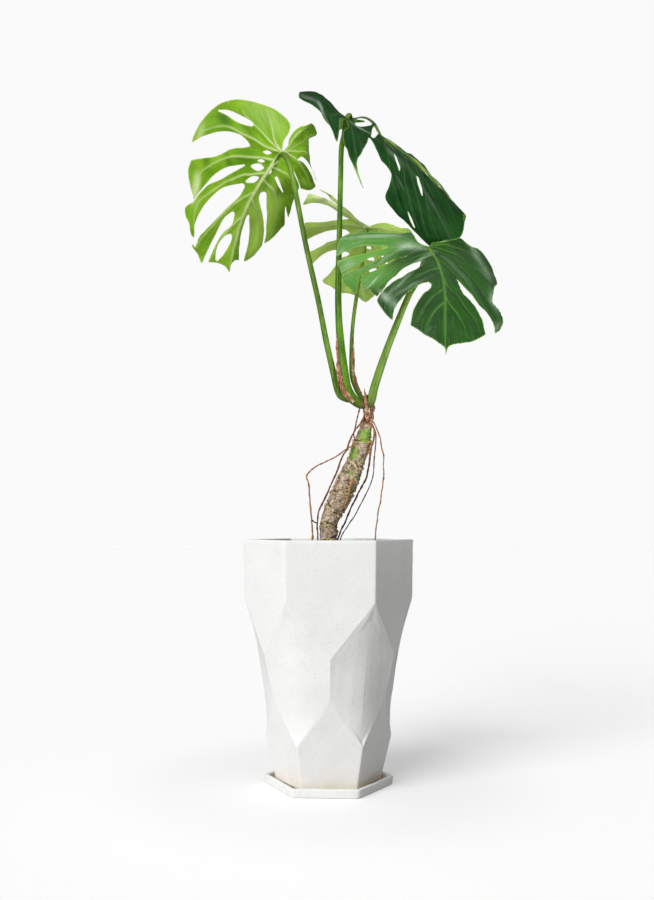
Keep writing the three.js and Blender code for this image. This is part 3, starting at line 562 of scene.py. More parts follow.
stem = {
    # centre and radius of each section, from the buried foot to the crown
    "sections": [
        (-1, 0, 318, 12.8), (-1, 0, 340, 13.6), (0, 0, 378, 13.4), (2, 1, 406, 13.6), (16, 3, 436, 16.6),
        (30, 4, 467, 16.8), (43, 4, 498, 13.8), (51, 3, 521, 14.2), (57, 1, 544, 9.6), (61, 0, 563, 7.4),
        (62, 0, 578, 8.2), (61, 1, 590, 8.6), (60, 2, 599, 4.5)],
    # height and size of each leaf scar, half height of its collar, and the groove and the torn fringe above it
    "rings": [(358, 0.9), (372, 0.9), (392, 1.5), (419, 1.7), (446, 1.9), (469, 1.1), (492, 1.6), (528, 1.8),
              (551, 1.3)],
    "collar": 1.5, "groove": 3.4, "fringe": 6.4, "sides": 132, "rows": 420,
    # middle, half width, half height, slant and taper of each window of green skin, and how squarish they are
    "windows": [(56, 535, 9.4, 10.8, 0.1, 0), (39, 510.5, 5.4, 11, 0.16, 0.45), (34.6, 478, 2.8, 3.2, 0.2, 0),
                (46.6, 468, 2.4, 4.2, 0.3, 0), (50, 496, 1.8, 4.0, 0.2, 0)],
    "square": 2.6,
}


def stemShape(stem):
    # rings along the stem; each old leaf scar is a wavy collar with a groove above it, over flaking bark. Layers
    # say where the scars, the cracks, the painted shade in the grooves, the fibrous neck and the green crown are
    line, t = drawn(stem["sections"], stem["rows"])
    path, radius = line[:, :3], line[:, 3:4]
    turn = around(stem["sides"])
    plain = ringsAlong(path, np.repeat(radius, stem["sides"], 1))
    level = path[:, 2:3] + 0 * turn
    swell, scar, grooveShade = np.zeros_like(level), np.zeros_like(level), np.zeros_like(level)
    for k, (height, size) in enumerate(stem["rings"]):
        wave = 3.8 * np.sin(turn + 1.9 * k) + 1.5 * np.sin(2 * turn + 2.3 * k) + 0.9 * cloud(plain, 9, 40 + k, 8)
        away = level - height - wave
        groove = bell(away, stem["groove"], stem["collar"])
        swell += size * (1.25 * bell(away, 0, stem["collar"]) - groove + 0.6 * bell(away, stem["fringe"], 1.2))
        scar = np.maximum(scar, bell(away, -0.2, stem["collar"]) + 0.7 * bell(away, stem["fringe"], 1.0))
        # the groove above each scar is painted dark in patches: painted shade, carried in the crack layer
        grooveShade = np.maximum(grooveShade, groove * fade(-0.5, 0.6, cloud(plain, 6, 80 + k, 8)))
    woody = fade(560, 548, level)
    flake = cloud(plain * [1, 1, 0.55], 7, 60)
    crack = np.clip(1 - np.abs(cloud(plain * [1, 1, 1.6], 11, 62)) * 3.2, 0, 1)
    fine = cloud(plain, 2.6, 61)
    swell += woody * (0.42 * np.clip(flake, -1, 1.4) + 0.16 * fine - 0.9 * crack)
    upright = np.stack([9 * np.cos(turn) + 0 * level, 9 * np.sin(turn) + 0 * level, level * 0.18], -1)
    neck = fade(548, 556, level) * fade(586, 574, level)
    swell += neck * 0.8 * cloud(upright, 3.2, 63)
    tip = np.sqrt(np.clip(1 - fade(0.955, 1.0, t / t[-1]) ** 2, 0.02, 1))[:, None]
    return ringsAlong(path, (radius + swell) * tip), {
        "scar": scar * woody, "crack": np.maximum(crack, grooveShade) * woody,
        "neck": neck + fade(574, 590, level) * 0.55, "crown": fade(572, 584, level)}


def greenPatches(points):
    # living green skin shows through the bark on the near side, in windows |x|^p + |z|^p < 1 with soft edges
    x, y, z = np.moveaxis(points, -1, 0)
    amount = np.zeros(x.shape)
    edge = 0.05 * cloud(points, 5, 71)
    power = stem["square"]
    for middleX, middleZ, halfWide, halfHigh, slant, taper in stem["windows"]:
        up = (z - middleZ) / halfHigh
        room = halfWide * (1 - taper * np.clip(up, -1, 1))
        aside = (x - middleX - slant * (z - middleZ)) / room
        away = (np.abs(aside) ** power + np.abs(up) ** power) ** (1 / power)
        amount = np.maximum(amount, fade(1.06, 0.94, away + edge))
    return amount * (y < 3)


def barkFinish():
    # grey-beige bark in thin flakes, yellow-olive crumbs on the scars, black cracks with painted shade in the
    # grooves above the scars, red-brown fibres at the neck, a green crown and green skin in windows
    finish, tree, shader = newFinish("stem_bark", {"Specular IOR Level": 0.3, "Roughness": 0.85})
    place = ownPlace(tree)
    flakes = strands(tree, place, (150, 150, 90), 5, 0.65)
    body = turned(tree, paint(134, 112, 86), paint(214, 196, 172), flakes, 0.36, 0.62)
    body = turned(tree, body, paint(172, 140, 108), noise(tree, place, 55, 4), 0.5, 0.7)
    spots = noise(tree, place, 340, 3, 0.7)
    body = turned(tree, body, paint(78, 58, 40), spots, 0.6, 0.7, 0, 0.75)
    crumb = noise(tree, place, 420, 3, 0.6)
    scar = times(tree, layer(tree, "scar"), spread(tree, crumb, 0.35, 0.55, 0.25, 1))
    body = mixed(tree, scar, body, mixed(tree, crumb, paint(214, 196, 112), paint(240, 226, 190)))
    # the crack layer: black cracks, and painted shade in the grooves above the scars
    body = mixed(tree, layer(tree, "crack"), body, paint(56, 40, 28))
    fibre = strands(tree, place, (520, 520, 60))
    skin = turned(tree, paint(92, 56, 34), paint(206, 156, 120), fibre, 0.35, 0.65)
    shreds = noise(tree, place, 170, 4, 0.65)
    skin = turned(tree, skin, paint(226, 206, 184), shreds, 0.54, 0.62)
    skin = turned(tree, skin, paint(54, 38, 28), shreds, 0.46, 0.38)
    body = mixed(tree, layer(tree, "neck"), body, skin)
    live = turned(tree, paint(54, 80, 26), paint(88, 70, 36), flakes, 0.35, 0.65)
    body = mixed(tree, layer(tree, "crown"), body, live)
    fresh = turned(tree, paint(122, 156, 62), paint(156, 182, 86), noise(tree, place, 120, 3), 0.3, 0.7)
    body = mixed(tree, layer(tree, "fresh"), body, fresh)
    tree.links.new(spread(tree, layer(tree, "fresh"), 0, 1, 0.86, 0.5), shader.inputs["Roughness"])
    dress(tree, shader, body, plus(tree, times(tree, flakes, 1.4), spots), 0.7, 0.0012)
    return finish


stemRows, stemLayers = stemShape(stem)
stemLayers["fresh"] = greenPatches(stemRows)
makePiece("stem_trunk", *capped(stemRows), barkFinish(), "stem", ["stem"], layers=withPoles(stemLayers))
print("stem stands")

# Each blade is drawn flat, u across and v along the midrib, then bent: row v of the midrib has a frame, and a
# point goes out from it along an arc that starts at the half's rise and turns by the half's bend per 100 mm.
# Slots are chains of circles (u, v, radius). Tone patches are soft patches of painted light, toward the sheen
# colour, where their strength is above zero and of painted shade, toward the shade colour, where it is below;
# gleams are soft patches of painted highlight and painted light, and humps are humps of height: middle, half
# length, half width, turn and strength of each.
leftBlade = {
    "up": (-0.15, 0.86, 0.48),
    "midrib": [(-22, -6, 1018), (-47, 4, 1003), (-71, 20, 982), (-96, 40, 957), (-119, 62, 930), (-137, 80, 902),
               (-150, 94, 867), (-160, 105, 832), (-167, 113, 793)],
    "riseRight": [62, 58, 46, 38, 34, 30, 26, 22, 18], "bendRight": [-10] * 9,
    "riseLeft": [14, 12, 8, 6, 5, 5, 5, 5, 5], "bendLeft": [-20, -20, -22, -22, -22, -20, -18, -16, -16],
    "outline": [
        (0, 0), (-8, -12), (-10, -28), (-18, -39), (-45, -38), (-73, -28), (-104, -13), (-119, 6), (-127, 30),
        (-128, 48), (-125, 62), (-118, 72), (-112, 81), (-107, 98), (-95, 114), (-84, 127), (-93, 142),
        (-80, 159), (-73, 174), (-61, 185), (-68, 190), (-55, 201), (-45, 213), (-37, 209), (-20, 207), (-8, 210),
        (0, 217), (1, 204), (10, 196), (25, 196), (38, 184), (53, 161), (68, 145), (80, 128), (88, 112), (86, 82),
        (79, 54), (84, 50), (101, 46), (109, 34), (110, 25), (95, 15), (80, 5), (68, -8), (61, -26), (50, -42),
        (60, -54), (50, -65), (30, -71), (10, -69), (-3, -57), (-6, -38), (-4, -22), (2, -8)],
    "slots": [
        [(-45, 26, 1), (-54, 28, 6), (-66, 31, 10), (-77, 37, 13), (-90, 48, 16), (-105, 59, 15), (-122, 72, 12)],
        [(-35, 53, 1), (-44, 63, 3.5), (-54, 74, 5.5), (-63, 88, 5), (-72, 104, 1.3), (-84, 130, 0.8)],
        [(-22, 82, 5), (-29, 95, 11), (-38, 108, 14), (-46, 123, 14), (-54, 139, 13), (-61, 157, 10),
         (-63, 172, 4.5), (-63, 190, 1)],
        [(-17, 127, 3.5), (-21, 140, 8), (-26, 151, 5.5), (-32, 172, 3.6), (-43, 217, 4)],
        [(11, 123, 3.4), (14, 136, 6.4), (16, 150, 8.4), (18, 168, 8.4), (21, 200, 3.6)],
        [(22, 81, 6.5), (25, 87, 7), (34, 99, 6), (43, 113, 4.4), (50, 130, 2.4), (55, 166, 1.2)],
        [(75, 87, 0.8), (81, 98, 2.2), (90, 114, 4.5)],
        [(45, 21, 0.8), (63, 32, 1), (79, 45, 1), (84, 56, 4)],
        [(43, 4, 1), (54, 1, 3.6), (71, 5, 2.8), (92, 17, 2), (112, 30, 3.2)],
        [(28, 47, 2.3), (39, 55, 2.4), (56, 66, 0.8)],
        [(-113, 11, 1), (-100, 7, 3.3), (-85, 5, 5), (-71, 2, 5), (-62, 0, 3.3)],
        [(-11, 158, 2), (-14, 166, 6.5), (-18, 178, 7.9), (-21, 191, 6.4), (-23, 201, 2.7)],
        [(-21.5, 20.6, 1.2), (-17, 18, 3), (-12.5, 15.4, 1.2)],
        [(-21, 35.6, 1), (-17, 33.4, 2.5), (-13, 31.4, 1)],
        [(-24, 48, 1.6), (-16, 44, 5), (-9, 40.5, 1.6)],
        [(-18.5, 71, 2), (-12.5, 63.5, 5.2), (-7.5, 57, 1.8)],
        [(5, 37, 1.5), (9, 42, 3)], [(5, 24, 1.8), (6.5, 21, 1.8)]],
    "veins": [
        [(-2, 2), (-20, -4), (-34, -16), (-46, -24), (-60, -30)],
        [(-2, 2), (-24, 2), (-42, -1), (-57, -2), (-72, -4), (-86, -8)],
        [(-2, 4), (-24, 12), (-44, 14), (-64, 18), (-80, 19), (-92, 22), (-104, 28), (-114, 36), (-121, 45),
         (-125, 58)],
        [(-2, 20), (-19, 29), (-35, 38), (-48, 44), (-61, 52), (-72, 62), (-82, 74), (-90, 88), (-91, 100),
         (-90, 113), (-86, 124)],
        [(-2, 44), (-18, 57), (-30, 65), (-39, 76), (-48, 86), (-56, 100), (-66, 114), (-74, 125), (-76, 135),
         (-75, 148), (-70, 166)],
        [(-2, 80), (-12, 96), (-19, 108), (-25, 118), (-32, 130), (-40, 146), (-48, 162), (-56, 178), (-60, 191)],
        [(-2, 126), (-10, 140), (-16, 148), (-21, 161), (-26, 176), (-30, 192), (-34, 204)],
        [(1, 54), (16, 60), (32, 66), (44, 76), (55, 89), (62, 107), (66, 128), (60, 148)],
        [(1, 90), (15, 103), (26, 112), (34, 126), (39, 142), (40, 160), (36, 180)],
        [(2, 30), (23, 32), (42, 34), (62, 44), (74, 60)],
        [(4, -1), (10, -4), (18, -17), (30, -32), (44, -48), (50, -62)],
        [(4, -1), (14, -4), (32, -8), (48, -13), (63, -8), (76, 4), (92, 14)],
        [(4, 1), (22, 2), (46, 6), (68, 16), (84, 25), (98, 36)],
        [(4, -4), (0, -28), (0, -46), (7, -59)]],
    "gutter": 4.6, "gutterReach": 10, "pleat": 0.24, "rib": 1.2,
    "midribWide": 2.8, "midribHigh": 2.2, "veinWide": 1.15,
    # patches of painted light and shade, then patches of painted highlight and painted light
    "paintedLightAndShade": [(-99, 16, 20, 9, 20, -0.8), (-93, 68, 26, 10, 60, -0.7), (-116, 52, 22, 7, 65, 0.7),
              (-88, 108, 22, 7, 75, 0.9), (16, -30, 22, 14, -60, -0.6), (98, 22, 8, 26, 0, -0.4),
              (64, -20, 6, 14, 0, 0.5), (-50, -22, 50, 22, 0, 0.3), (-45, 35, 34, 22, 30, -0.45),
              (-20, 60, 40, 26, 50, -0.25), (24, 60, 26, 40, 0, -0.3), (-26, 150, 40, 30, 60, 0.15),
              (-66, 8, 34, 5, 10, -0.4), (-60, 58, 34, 5, 35, -0.35), (-40, 90, 34, 5, 55, -0.3),
              (30, 60, 30, 6, 25, -0.35), (-96, 122, 8, 5, 0, 0.8)],
    "gleams": [(34, 120, 34, 66, 0, 0.95), (-40, -24, 50, 14, 0, 0.25), (92, 34, 22, 8, 10, 0.45),
               (-20, 150, 50, 12, 80, 0.35)],
    "humps": [(40, -50, 20, 14, -60, 2.0), (20, -30, 9, 30, -60, -2.5)],
}
topBlade = {
    "up": (0, -0.1, 0.99),
    "heading": [(1, 0, -0.2), (1, 0, -0.1), (1, 0, 0.1), (1, 0, 0.2), (1, 0, 0.25), (1, 0, 0.3), (1, 0, 0.35),
                (1, 0, 0.4), (1, 0, 0.5), (1, 0, 0.6)],
    "midrib": [(-48, 34, 1078), (-12, 26, 1070), (29, 20, 1033), (64, 12, 1023), (90, 10, 991), (121, 10, 967),
               (151, 12, 940), (180, 18, 912), (207, 25, 883), (209, 24, 844)],
    "riseRight": [-25] * 10, "bendRight": [-50] * 10,
    "riseLeft": [-20, -4, 18, 34, 46, 54, 68, 72, 64, 48],
    "bendLeft": [-30, -60, -80, -70, -85, -90, -90, -90, -80, -70],
    "outline": [
        (16, -76), (27, -74), (40, -65), (49, -53), (56, -40), (62, -32), (79, -22), (93, -17), (92, -8),
        (105, -5), (116, -1), (134, 4), (150, 9), (135, 6.4), (119, 4), (98, 8), (87, 33), (102, 37), (106, 45),
        (110, 54), (122, 51), (140, 43), (157, 35), (166, 38), (174, 51), (171, 71), (176, 86), (181, 96),
        (185, 109), (171, 121), (160, 134), (150, 148), (138, 163), (128, 173), (110, 185), (88, 198), (62, 207),
        (36, 226), (14, 243), (2, 262), (-4, 260), (-34, 240), (-66, 216), (-90, 184), (-104, 150), (-112, 118),
        (-112, 84), (-104, 52), (-88, 26), (-60, 6), (-40, 0), (-56, -8), (-64, -20), (-56, -34), (-38, -40),
        (-20, -42), (-14, -58), (-6, -68), (4, -74)],
    "slots": [
        [(24, -4, 1), (40, -7, 6), (66, -12, 2), (96, -13, 4)],
        [(66, 27, 1.5), (76, 27, 5), (92, 24, 11), (112, 22, 18)],
        [(150, 78, 0.8), (158, 81, 2.2), (167, 84, 1.4)],
        [(-9, 27, 4), (-22, 30, 15), (-50, 30, 22), (-112, 24, 30)],
        [(-8, 53, 4), (-24, 53, 15), (-56, 60, 22), (-116, 72, 30)],
        [(-62, 104, 1), (-84, 114, 4), (-118, 128, 6)],
        [(-62, 158, 1), (-76, 168, 4), (-108, 188, 6)],
        [(26, 20, 9.5), (26, 28, 9.5)], [(-28, -44, 1), (-20, -30, 2.5), (-8, -22, 2)],
        [(60, 34, 3), (38, 44, 6), (22, 56, 7), (16, 72, 6.5), (12, 88, 3)],
        [(50, 82, 3), (67, 82, 4.5), (83, 79, 2)],
        [(68, 118, 2), (86, 116, 3.3), (102, 114, 1.3)],
        [(-10, 160, 2), (-12, 180, 3.5), (-10, 205, 2)]],
    "veins": [
        [(2, 70), (40, 69), (80, 58), (110, 53), (135, 54), (154, 58)],
        [(2, 88), (37, 90), (80, 90), (96, 86), (120, 86), (142, 86), (164, 92)],
        [(2, 108), (22, 110), (83, 104), (117, 103), (148, 102), (172, 106)],
        [(2, 122), (26, 123), (66, 126), (107, 120), (136, 118), (160, 124)],
        [(2, 136), (26, 138), (74, 139), (99, 142), (119, 148), (134, 158)],
        [(2, 162), (30, 164), (56, 168), (75, 177), (94, 190)],
        [(2, 194), (24, 202), (46, 218)],
        [(4, -2), (20, 2), (46, 4), (78, 4), (105, 3), (116, 2)],
        [(16, 2), (30, 9), (40, 17), (46, 25), (50, 34)],
        [(2, -6), (14, -24), (22, -44), (24, -66)], [(3, -4), (28, -16), (52, -24), (80, -17)],
        [(-2, 66), (-40, 74), (-80, 86), (-110, 98)], [(-2, 112), (-40, 126), (-75, 140), (-106, 156)],
        [(-2, 156), (-30, 180), (-58, 204), (-74, 212)], [(-2, 198), (-18, 220), (-34, 238)],
        [(-3, 2), (-40, 8), (-80, 20), (-102, 44)], [(-2, 20), (-30, 22), (-64, 30), (-92, 48)],
        [(-3, -2), (-12, -26), (-12, -60)]],
    "gutter": 2.0, "gutterReach": 12, "pleat": 0.04, "rib": 0.9,
    "midribWide": 2.0, "midribHigh": 1.8, "veinWide": 0.9,
    # patches of painted light and shade, then patches of painted highlight and painted light
    "paintedLightAndShade": [(-15, 176, 60, 10, 90, 0.7), (-14, 90, 22, 8, 90, 0.6), (-42, -22, 20, 16, 0, 0.8),
              (114, 46, 10, 3, 38, 0.8), (136, 5, 18, 4, 14, 1.0)],
    "gleams": [(40, 18, 26, 2.2, 42, 0.8), (50, -36, 16, 3, 20, 0.7), (30, -58, 26, 7, 55, 0.5),
               (14, 24, 16, 14, 90, 0.6), (56, 76, 14, 24, 0, 0.4), (110, 74, 12, 5, 40, 0.3),
               (14, 140, 60, 7, 90, 0.35), (100, 128, 60, 6, 25, 0.25)],
    "humps": [(10, 27, 24, 18, 0, 7.0), (4, -60, 20, 20, 0, 1.5)],
}
backBlade = {
    "up": (0.25, 0.45, 0.86),
    "midrib": [(65, 2, 922), (63, 36, 901), (61, 70, 880), (59, 104, 859), (58, 139, 839), (59, 174, 820),
               (62, 211, 804), (66, 248, 792)],
    "riseRight": [-15, -20, -30, -34, -34, -30, -24, -20], "bendRight": [-25] * 8,
    "riseLeft": [0] * 8, "bendLeft": [-20] * 8,
    "outline": [
        (-2, -3), (-15, -10), (-42, -34), (-59, -50), (-78, -60), (-94, -52), (-102, -36), (-104, -22),
        (-102, -6), (-100, 9), (-98, 26), (-94, 45), (-90, 66), (-88, 84), (-84, 104), (-73, 129), (-62, 145),
        (-49, 160), (-34, 170), (-14, 176), (0, 188), (16, 162), (36, 122), (52, 88), (66, 50), (78, 12),
        (88, -24), (93, -44), (82, -46), (66, -38), (49, -33), (33, -26), (18, -15), (5, -3)],
    "slots": [
        [(-49, -33, 0.6), (-60, -40, 1.2), (-68, -48, 3.9), (-77, -52, 5), (-92, -58, 7)],
        [(-31, -7, 1), (-40, -7, 3.5), (-54, -10, 10), (-70, -13, 16.8), (-88, -13, 19), (-108, -7, 16)],
        [(-28, 21, 2), (-38, 23, 6.4), (-51, 30, 8.9), (-66, 37, 10.3), (-80, 46, 12), (-98, 60, 11)],
        [(-27, 65, 3.3), (-42, 71, 8.3), (-53, 80, 13.8), (-64, 91, 17), (-73, 104, 17.7), (-86, 124, 16)],
        [(44, -6, 1.2), (60, -4, 4), (88, 2, 6)], [(38, 30, 2), (52, 34, 4.5), (76, 42, 6)],
        [(24, 112, 2), (36, 118, 4), (52, 124, 5)], [(3, 42, 3), (14, 36, 2)],
        [(10, 62, 5), (24, 52, 4)], [(20, 84, 4.5), (34, 70, 2.8)]],
    "veins": [
        [(-2, 2), (-20, -10), (-36, -20), (-53, -30), (-70, -41), (-86, -46), (-98, -40)],
        [(-2, 0), (-25, -18), (-42, -34), (-58, -50), (-75, -58)],
        [(-2, 4), (-26, 2), (-46, 6), (-67, 10), (-86, 14), (-96, 20)],
        [(-2, 10), (-10, 13), (-28, 28), (-47, 43), (-65, 55), (-78, 72), (-85, 86)],
        [(-2, 34), (-20, 52), (-30, 76), (-42, 100), (-57, 119), (-64, 136)],
        [(-2, 84), (-14, 110), (-26, 136), (-36, 160)],
        [(2, 1), (28, -14), (58, -28), (84, -41)], [(2, 12), (28, 12), (56, 16), (76, 22)],
        [(2, 36), (24, 46), (44, 56), (60, 62)], [(2, 74), (20, 88), (42, 100)],
        [(2, 116), (12, 132), (22, 146)]],
    "gutter": 3.0, "gutterReach": 10, "pleat": 0.16, "rib": 1.1,
    "midribWide": 2.4, "midribHigh": 2.0, "veinWide": 1.3,
    # patches of painted light and shade, then patches of painted highlight and painted light
    "paintedLightAndShade": [(-80, -46, 34, 12, 20, 0.6), (-60, 100, 30, 24, 120, -0.3), (60, -24, 34, 20, -20, 0.1),
              (-40, -30, 30, 12, 30, 0.4)],
    "gleams": [], "humps": [],
}
rightBlade = {
    "up": (0, -0.72, 0.69),
    "midrib": [(123, -50, 868), (133.5, -56, 840), (146, -66, 809), (155, -93, 784), (161, -119, 754),
               (162, -145, 723), (160, -165, 689), (158, -181, 652), (158, -191, 614)],
    "riseRight": [0] * 9, "bendRight": [-20, -20, -22, -22, -22, -20, -18, -16, -16],
    "riseLeft": [-12, -14, -18, -22, -26, -26, -24, -20, -16], "bendLeft": [-18] * 9,
    "outline": [
        (5, -4), (12, -16), (14, -27), (17, -32), (32, -36), (45, -43), (73, -57), (88, -64), (105, -69),
        (114, -68), (121, -59), (129, -46), (132, -38), (135, -26), (134, -15), (135, -4), (137, 8), (134, 38),
        (129, 66), (123, 84), (108, 82), (101, 102), (94, 121), (94, 133), (86, 151), (75, 167), (65, 176),
        (48, 182), (37, 189), (11, 208), (1, 215), (0, 226), (-5, 213), (-27, 204), (-48, 191), (-68, 170),
        (-76, 167), (-86, 158), (-97, 142), (-108, 119), (-109, 101), (-100, 88), (-96, 79), (-113, 39),
        (-127, 12), (-134, -3), (-124, -10), (-99, -12), (-86, -15), (-75, -19), (-55, -15), (-38, -12),
        (-24, -10), (-12, -8), (-3, 0)],
    "slots": [
        [(59, -21, 1), (64, -22, 2), (76, -26, 4), (87, -30, 6), (104, -34, 6.3), (119, -35, 5), (132, -36, 4)],
        [(62, -4, 0.8), (73, -5, 3.6), (82, -6, 5.7), (91, -7, 7), (107, -5, 5.4), (121, -6, 3.7), (132, -4, 1),
         (141, -4, 0.8)],
        [(38, 17, 1.5), (51, 19, 1.6), (64, 22, 4), (81, 24, 7.4), (92, 25, 9), (102, 27, 7), (112, 33, 3),
         (116, 45, 2.4), (118, 64, 4.5), (117, 90, 8)],
        [(22, 49, 2), (32, 53, 6.7), (44, 59, 8.8), (57, 69, 7.7), (68, 77, 5.7), (79, 92, 2.5), (88, 106, 1),
         (98, 128, 1.6)],
        [(23, 107, 4.7), (28, 112, 8), (38, 122, 9.7), (47, 134, 11.4), (53, 146, 12.4), (58, 160, 13.3),
         (60, 188, 12)],
        [(-26, 81, 2.5), (-33, 96, 8.4), (-44, 108, 10.4), (-57, 121, 10.9), (-68, 136, 11.4), (-74, 154, 10),
         (-72, 174, 4)]],
    "veins": [
        [(2, 0), (24, -13), (44, -26), (64, -36), (83, -44), (100, -48), (116, -46), (126, -42)],
        [(2, -2), (20, -14), (38, -27), (62, -42), (86, -56), (102, -64)],
        [(2, 2), (26, -4), (48, -10), (71, -16), (92, -20), (113, -24), (132, -22)],
        [(2, 8), (22, 9), (43, 11), (62, 10), (80, 10), (100, 8), (118, 10), (130, 24), (130, 60)],
        [(2, 22), (20, 26), (39, 30), (58, 36), (78, 44), (96, 52), (110, 62)],
        [(2, 28), (20, 38), (39, 42), (58, 52), (76, 64), (90, 80), (98, 94)],
        [(2, 66), (18, 70), (31, 76), (46, 88), (59, 100), (68, 118), (76, 136), (75, 156), (68, 173)],
        [(2, 114), (16, 129), (24, 142), (32, 158), (38, 175)],
        [(2, 142), (12, 154), (18, 164), (24, 180), (26, 194)],
        [(-2, 12), (-24, 20), (-43, 38), (-61, 56), (-76, 70), (-88, 82)],
        [(-2, 38), (-12, 52), (-28, 69), (-45, 86), (-65, 101), (-84, 114), (-96, 131)],
        [(-2, 3), (-23, 2), (-48, 6), (-70, 14), (-88, 22), (-104, 36)],
        [(-2, 0), (-28, -7), (-50, -6), (-76, -5), (-102, 0), (-122, 3)],
        [(-2, 92), (-6, 106), (-19, 114), (-32, 130), (-45, 144), (-56, 162), (-62, 176)],
        [(-1, 132), (-8, 144), (-19, 154), (-28, 170), (-34, 191)]],
    "gutter": 3.6, "gutterReach": 10, "pleat": 0.4, "rib": 0.9,
    "midribWide": 2.0, "midribHigh": 1.9, "veinWide": 0.9,
    # patches of painted light and shade, then patches of painted highlight and painted light
    "paintedLightAndShade": [(112, 4, 50, 80, 0, 0.95), (60, -20, 34, 30, 0, 0.35), (84, 60, 30, 30, 30, 0.4),
              (10, 150, 60, 50, 0, -0.5), (-60, 120, 40, 40, 0, -0.2)],
    "gleams": [(24, -6, 28, 12, -35, 0.6), (50, 108, 32, 7, 30, 0.4), (-102, 2, 32, 14, 86, 0.45),
               (-97, 80, 20, 9, 86, 0.5), (-92, 138, 26, 7, 60, 0.4), (28, 44, 36, 5, 40, 0.6),
               (120, -22, 14, 30, 0, 0.3), (70, 142, 24, 7, 115, 0.5), (100, 66, 26, 4, 50, 0.8),
               (76, -50, 50, 4, -22, 0.55), (-34, 60, 50, 6, 130, 0.22), (88, 110, 24, 5, 105, 0.5),
               (60, 92, 34, 4, 50, 0.45), (76, 8, 40, 4, 25, 0.45)],
    "humps": [],
}

blades = {"left": leftBlade, "top": topBlade, "back": backBlade, "right": rightBlade}
bladeGrid = {
    # v of the first station of each midrib and distance to the next, and the grid's step and margin
    "first": -80, "apart": 40, "step": 1.35, "margin": 4,
    # thickness in the leaf, its share at the rim and where it is full, and how deep a vein lies in the upper side
    "thick": 0.7, "rimThick": 0.45, "rimReach": 3.5, "veinDip": 0.32,
    # rounding where a slot leaves the outline, and how near to the CAD's box a point is eased back
    "corner": 2.2, "ease": 1.5,
    "clouds": [(0.5, 34, 7), (0.16, 11, 9)], "pleatGap": 5.2, "perSpan": 7, "layerReach": 20, "veinTaper": 0.72,
}


def bladeSurface(blade, u, v):
    # centre(v) + across * sign(u) (sin a1 - sin a0) / k + lift * (cos a0 - cos a1) / k, with a1 = a0 + k |u|
    t = (v - bladeGrid["first"]) / bladeGrid["apart"]
    centre = through(blade["midrib"], t)
    if "heading" in blade:
        ahead = through(blade["heading"], t)
    else:
        ahead = through(blade["midrib"], t + 0.02) - through(blade["midrib"], t - 0.02)
    ahead = unit(ahead)
    across = unit(np.cross(ahead, np.array(blade["up"], float)))
    lift = np.cross(across, ahead)
    ofHalf = lambda key: np.where(u >= 0, through(blade[key + "Right"], t), through(blade[key + "Left"], t))
    start, k = np.radians(ofHalf("rise")), np.radians(ofHalf("bend")) / 100
    end = start + k * np.abs(u)
    out = np.sign(u) * (np.sin(end) - np.sin(start)) / k
    over = (np.cos(start) - np.cos(end)) / k
    return centre + across * out[..., None] + lift * over[..., None]


def upward(points):
    # unit normal of a grid: step along u x step along v
    return unit(np.cross(np.gradient(points, axis=1), np.gradient(points, axis=0)))


def nearSegments(u, v, line, halves=None):
    # least distance from each place to a chain of segments, less its half width there; also how far along
    best, along = np.full(u.shape, 1e9), np.zeros(u.shape)
    count = len(line) - 1
    for i in range(count):
        (x0, y0), (x1, y1) = line[i], line[i + 1]
        dx, dy = x1 - x0, y1 - y0
        f = np.clip(((u - x0) * dx + (v - y0) * dy) / (dx * dx + dy * dy + 1e-9), 0, 1)
        away = np.hypot(u - x0 - f * dx, v - y0 - f * dy)
        if halves is not None:
            away = away - (halves[i] + (halves[i + 1] - halves[i]) * f)
        closer = away < best
        best = np.where(closer, away, best)
        along = np.where(closer, (i + f) / count, along)
    return best, along


def chain(stations):
    # a slot or vein drawn with six steps between two stations
    return drawn(stations, 6 * len(stations) - 5)[0]


def cutField(blade, u, v):
    # below zero on the leaf: distance to the outline, negative inside by its crossing count, and rounded off
    # where a slot (a chain of circles) runs out of it: max(a, b) + h²c/4, h = 1 - |a - b| / c
    rim = closedCurve(blade["outline"], bladeGrid["perSpan"])
    field, _ = nearSegments(u, v, np.concatenate([rim, rim[:1]]))
    (x0, y0), (x1, y1) = rim.T[:, :, None, None], np.roll(rim, -1, 0).T[:, :, None, None]
    crossings = np.zeros(u.shape, int)
    for i in range(len(rim)):
        spans = (y0[i] > v) != (y1[i] > v)
        crossings += spans & (u < x0[i] + (v - y0[i]) * (x1[i] - x0[i]) / (y1[i] - y0[i] + 1e-12))
    field = np.where(crossings % 2 == 1, -field, field)
    soft = bladeGrid["corner"]
    for slot in blade["slots"]:
        circles = chain(slot)
        gap, _ = nearSegments(u, v, circles[:, :2], circles[:, 2])
        h = np.clip(1 - np.abs(field + gap) / soft, 0, 1)
        field = np.maximum(field, -gap) + h * h * soft / 4
    return field


def veinField(blade, u, v):
    # distance to the nearest side vein (mm), paint strength and rib height of all veins, the midrib with them
    gap, paintLine, rib = np.full(u.shape, 1e9), np.zeros(u.shape), np.zeros(u.shape)
    taper = bladeGrid["veinTaper"]
    for vein in blade["veins"]:
        away, along = nearSegments(u, v, chain(vein))
        size = 1 - taper * along
        gap = np.minimum(gap, away + 0.6 * along)
        paintLine = np.maximum(paintLine, (1 - 0.55 * along) * bell(away, 0, blade["veinWide"] * (0.3 + 0.7 * size)))
        rib = np.maximum(rib, blade["rib"] * size * bell(away, 0, 1.2 * size + 0.6))
    length = max(y for _, y in blade["outline"])
    along = np.clip(v / length, 0, 1)
    wide = blade["midribWide"] * (1 - taper * along) + 0.3
    core = np.exp(-np.abs(u / wide) ** 2.6) * fade(-5, -1, v) * fade(1.0, 0.96, v / length)
    rib = np.maximum(rib, blade["midribHigh"] * (1 - 0.8 * along) * core)
    gap = np.minimum(gap, np.abs(u) + 40 * fade(0, -8, v))
    return gap, np.maximum(paintLine, core * (1 - 0.35 * along)), rib


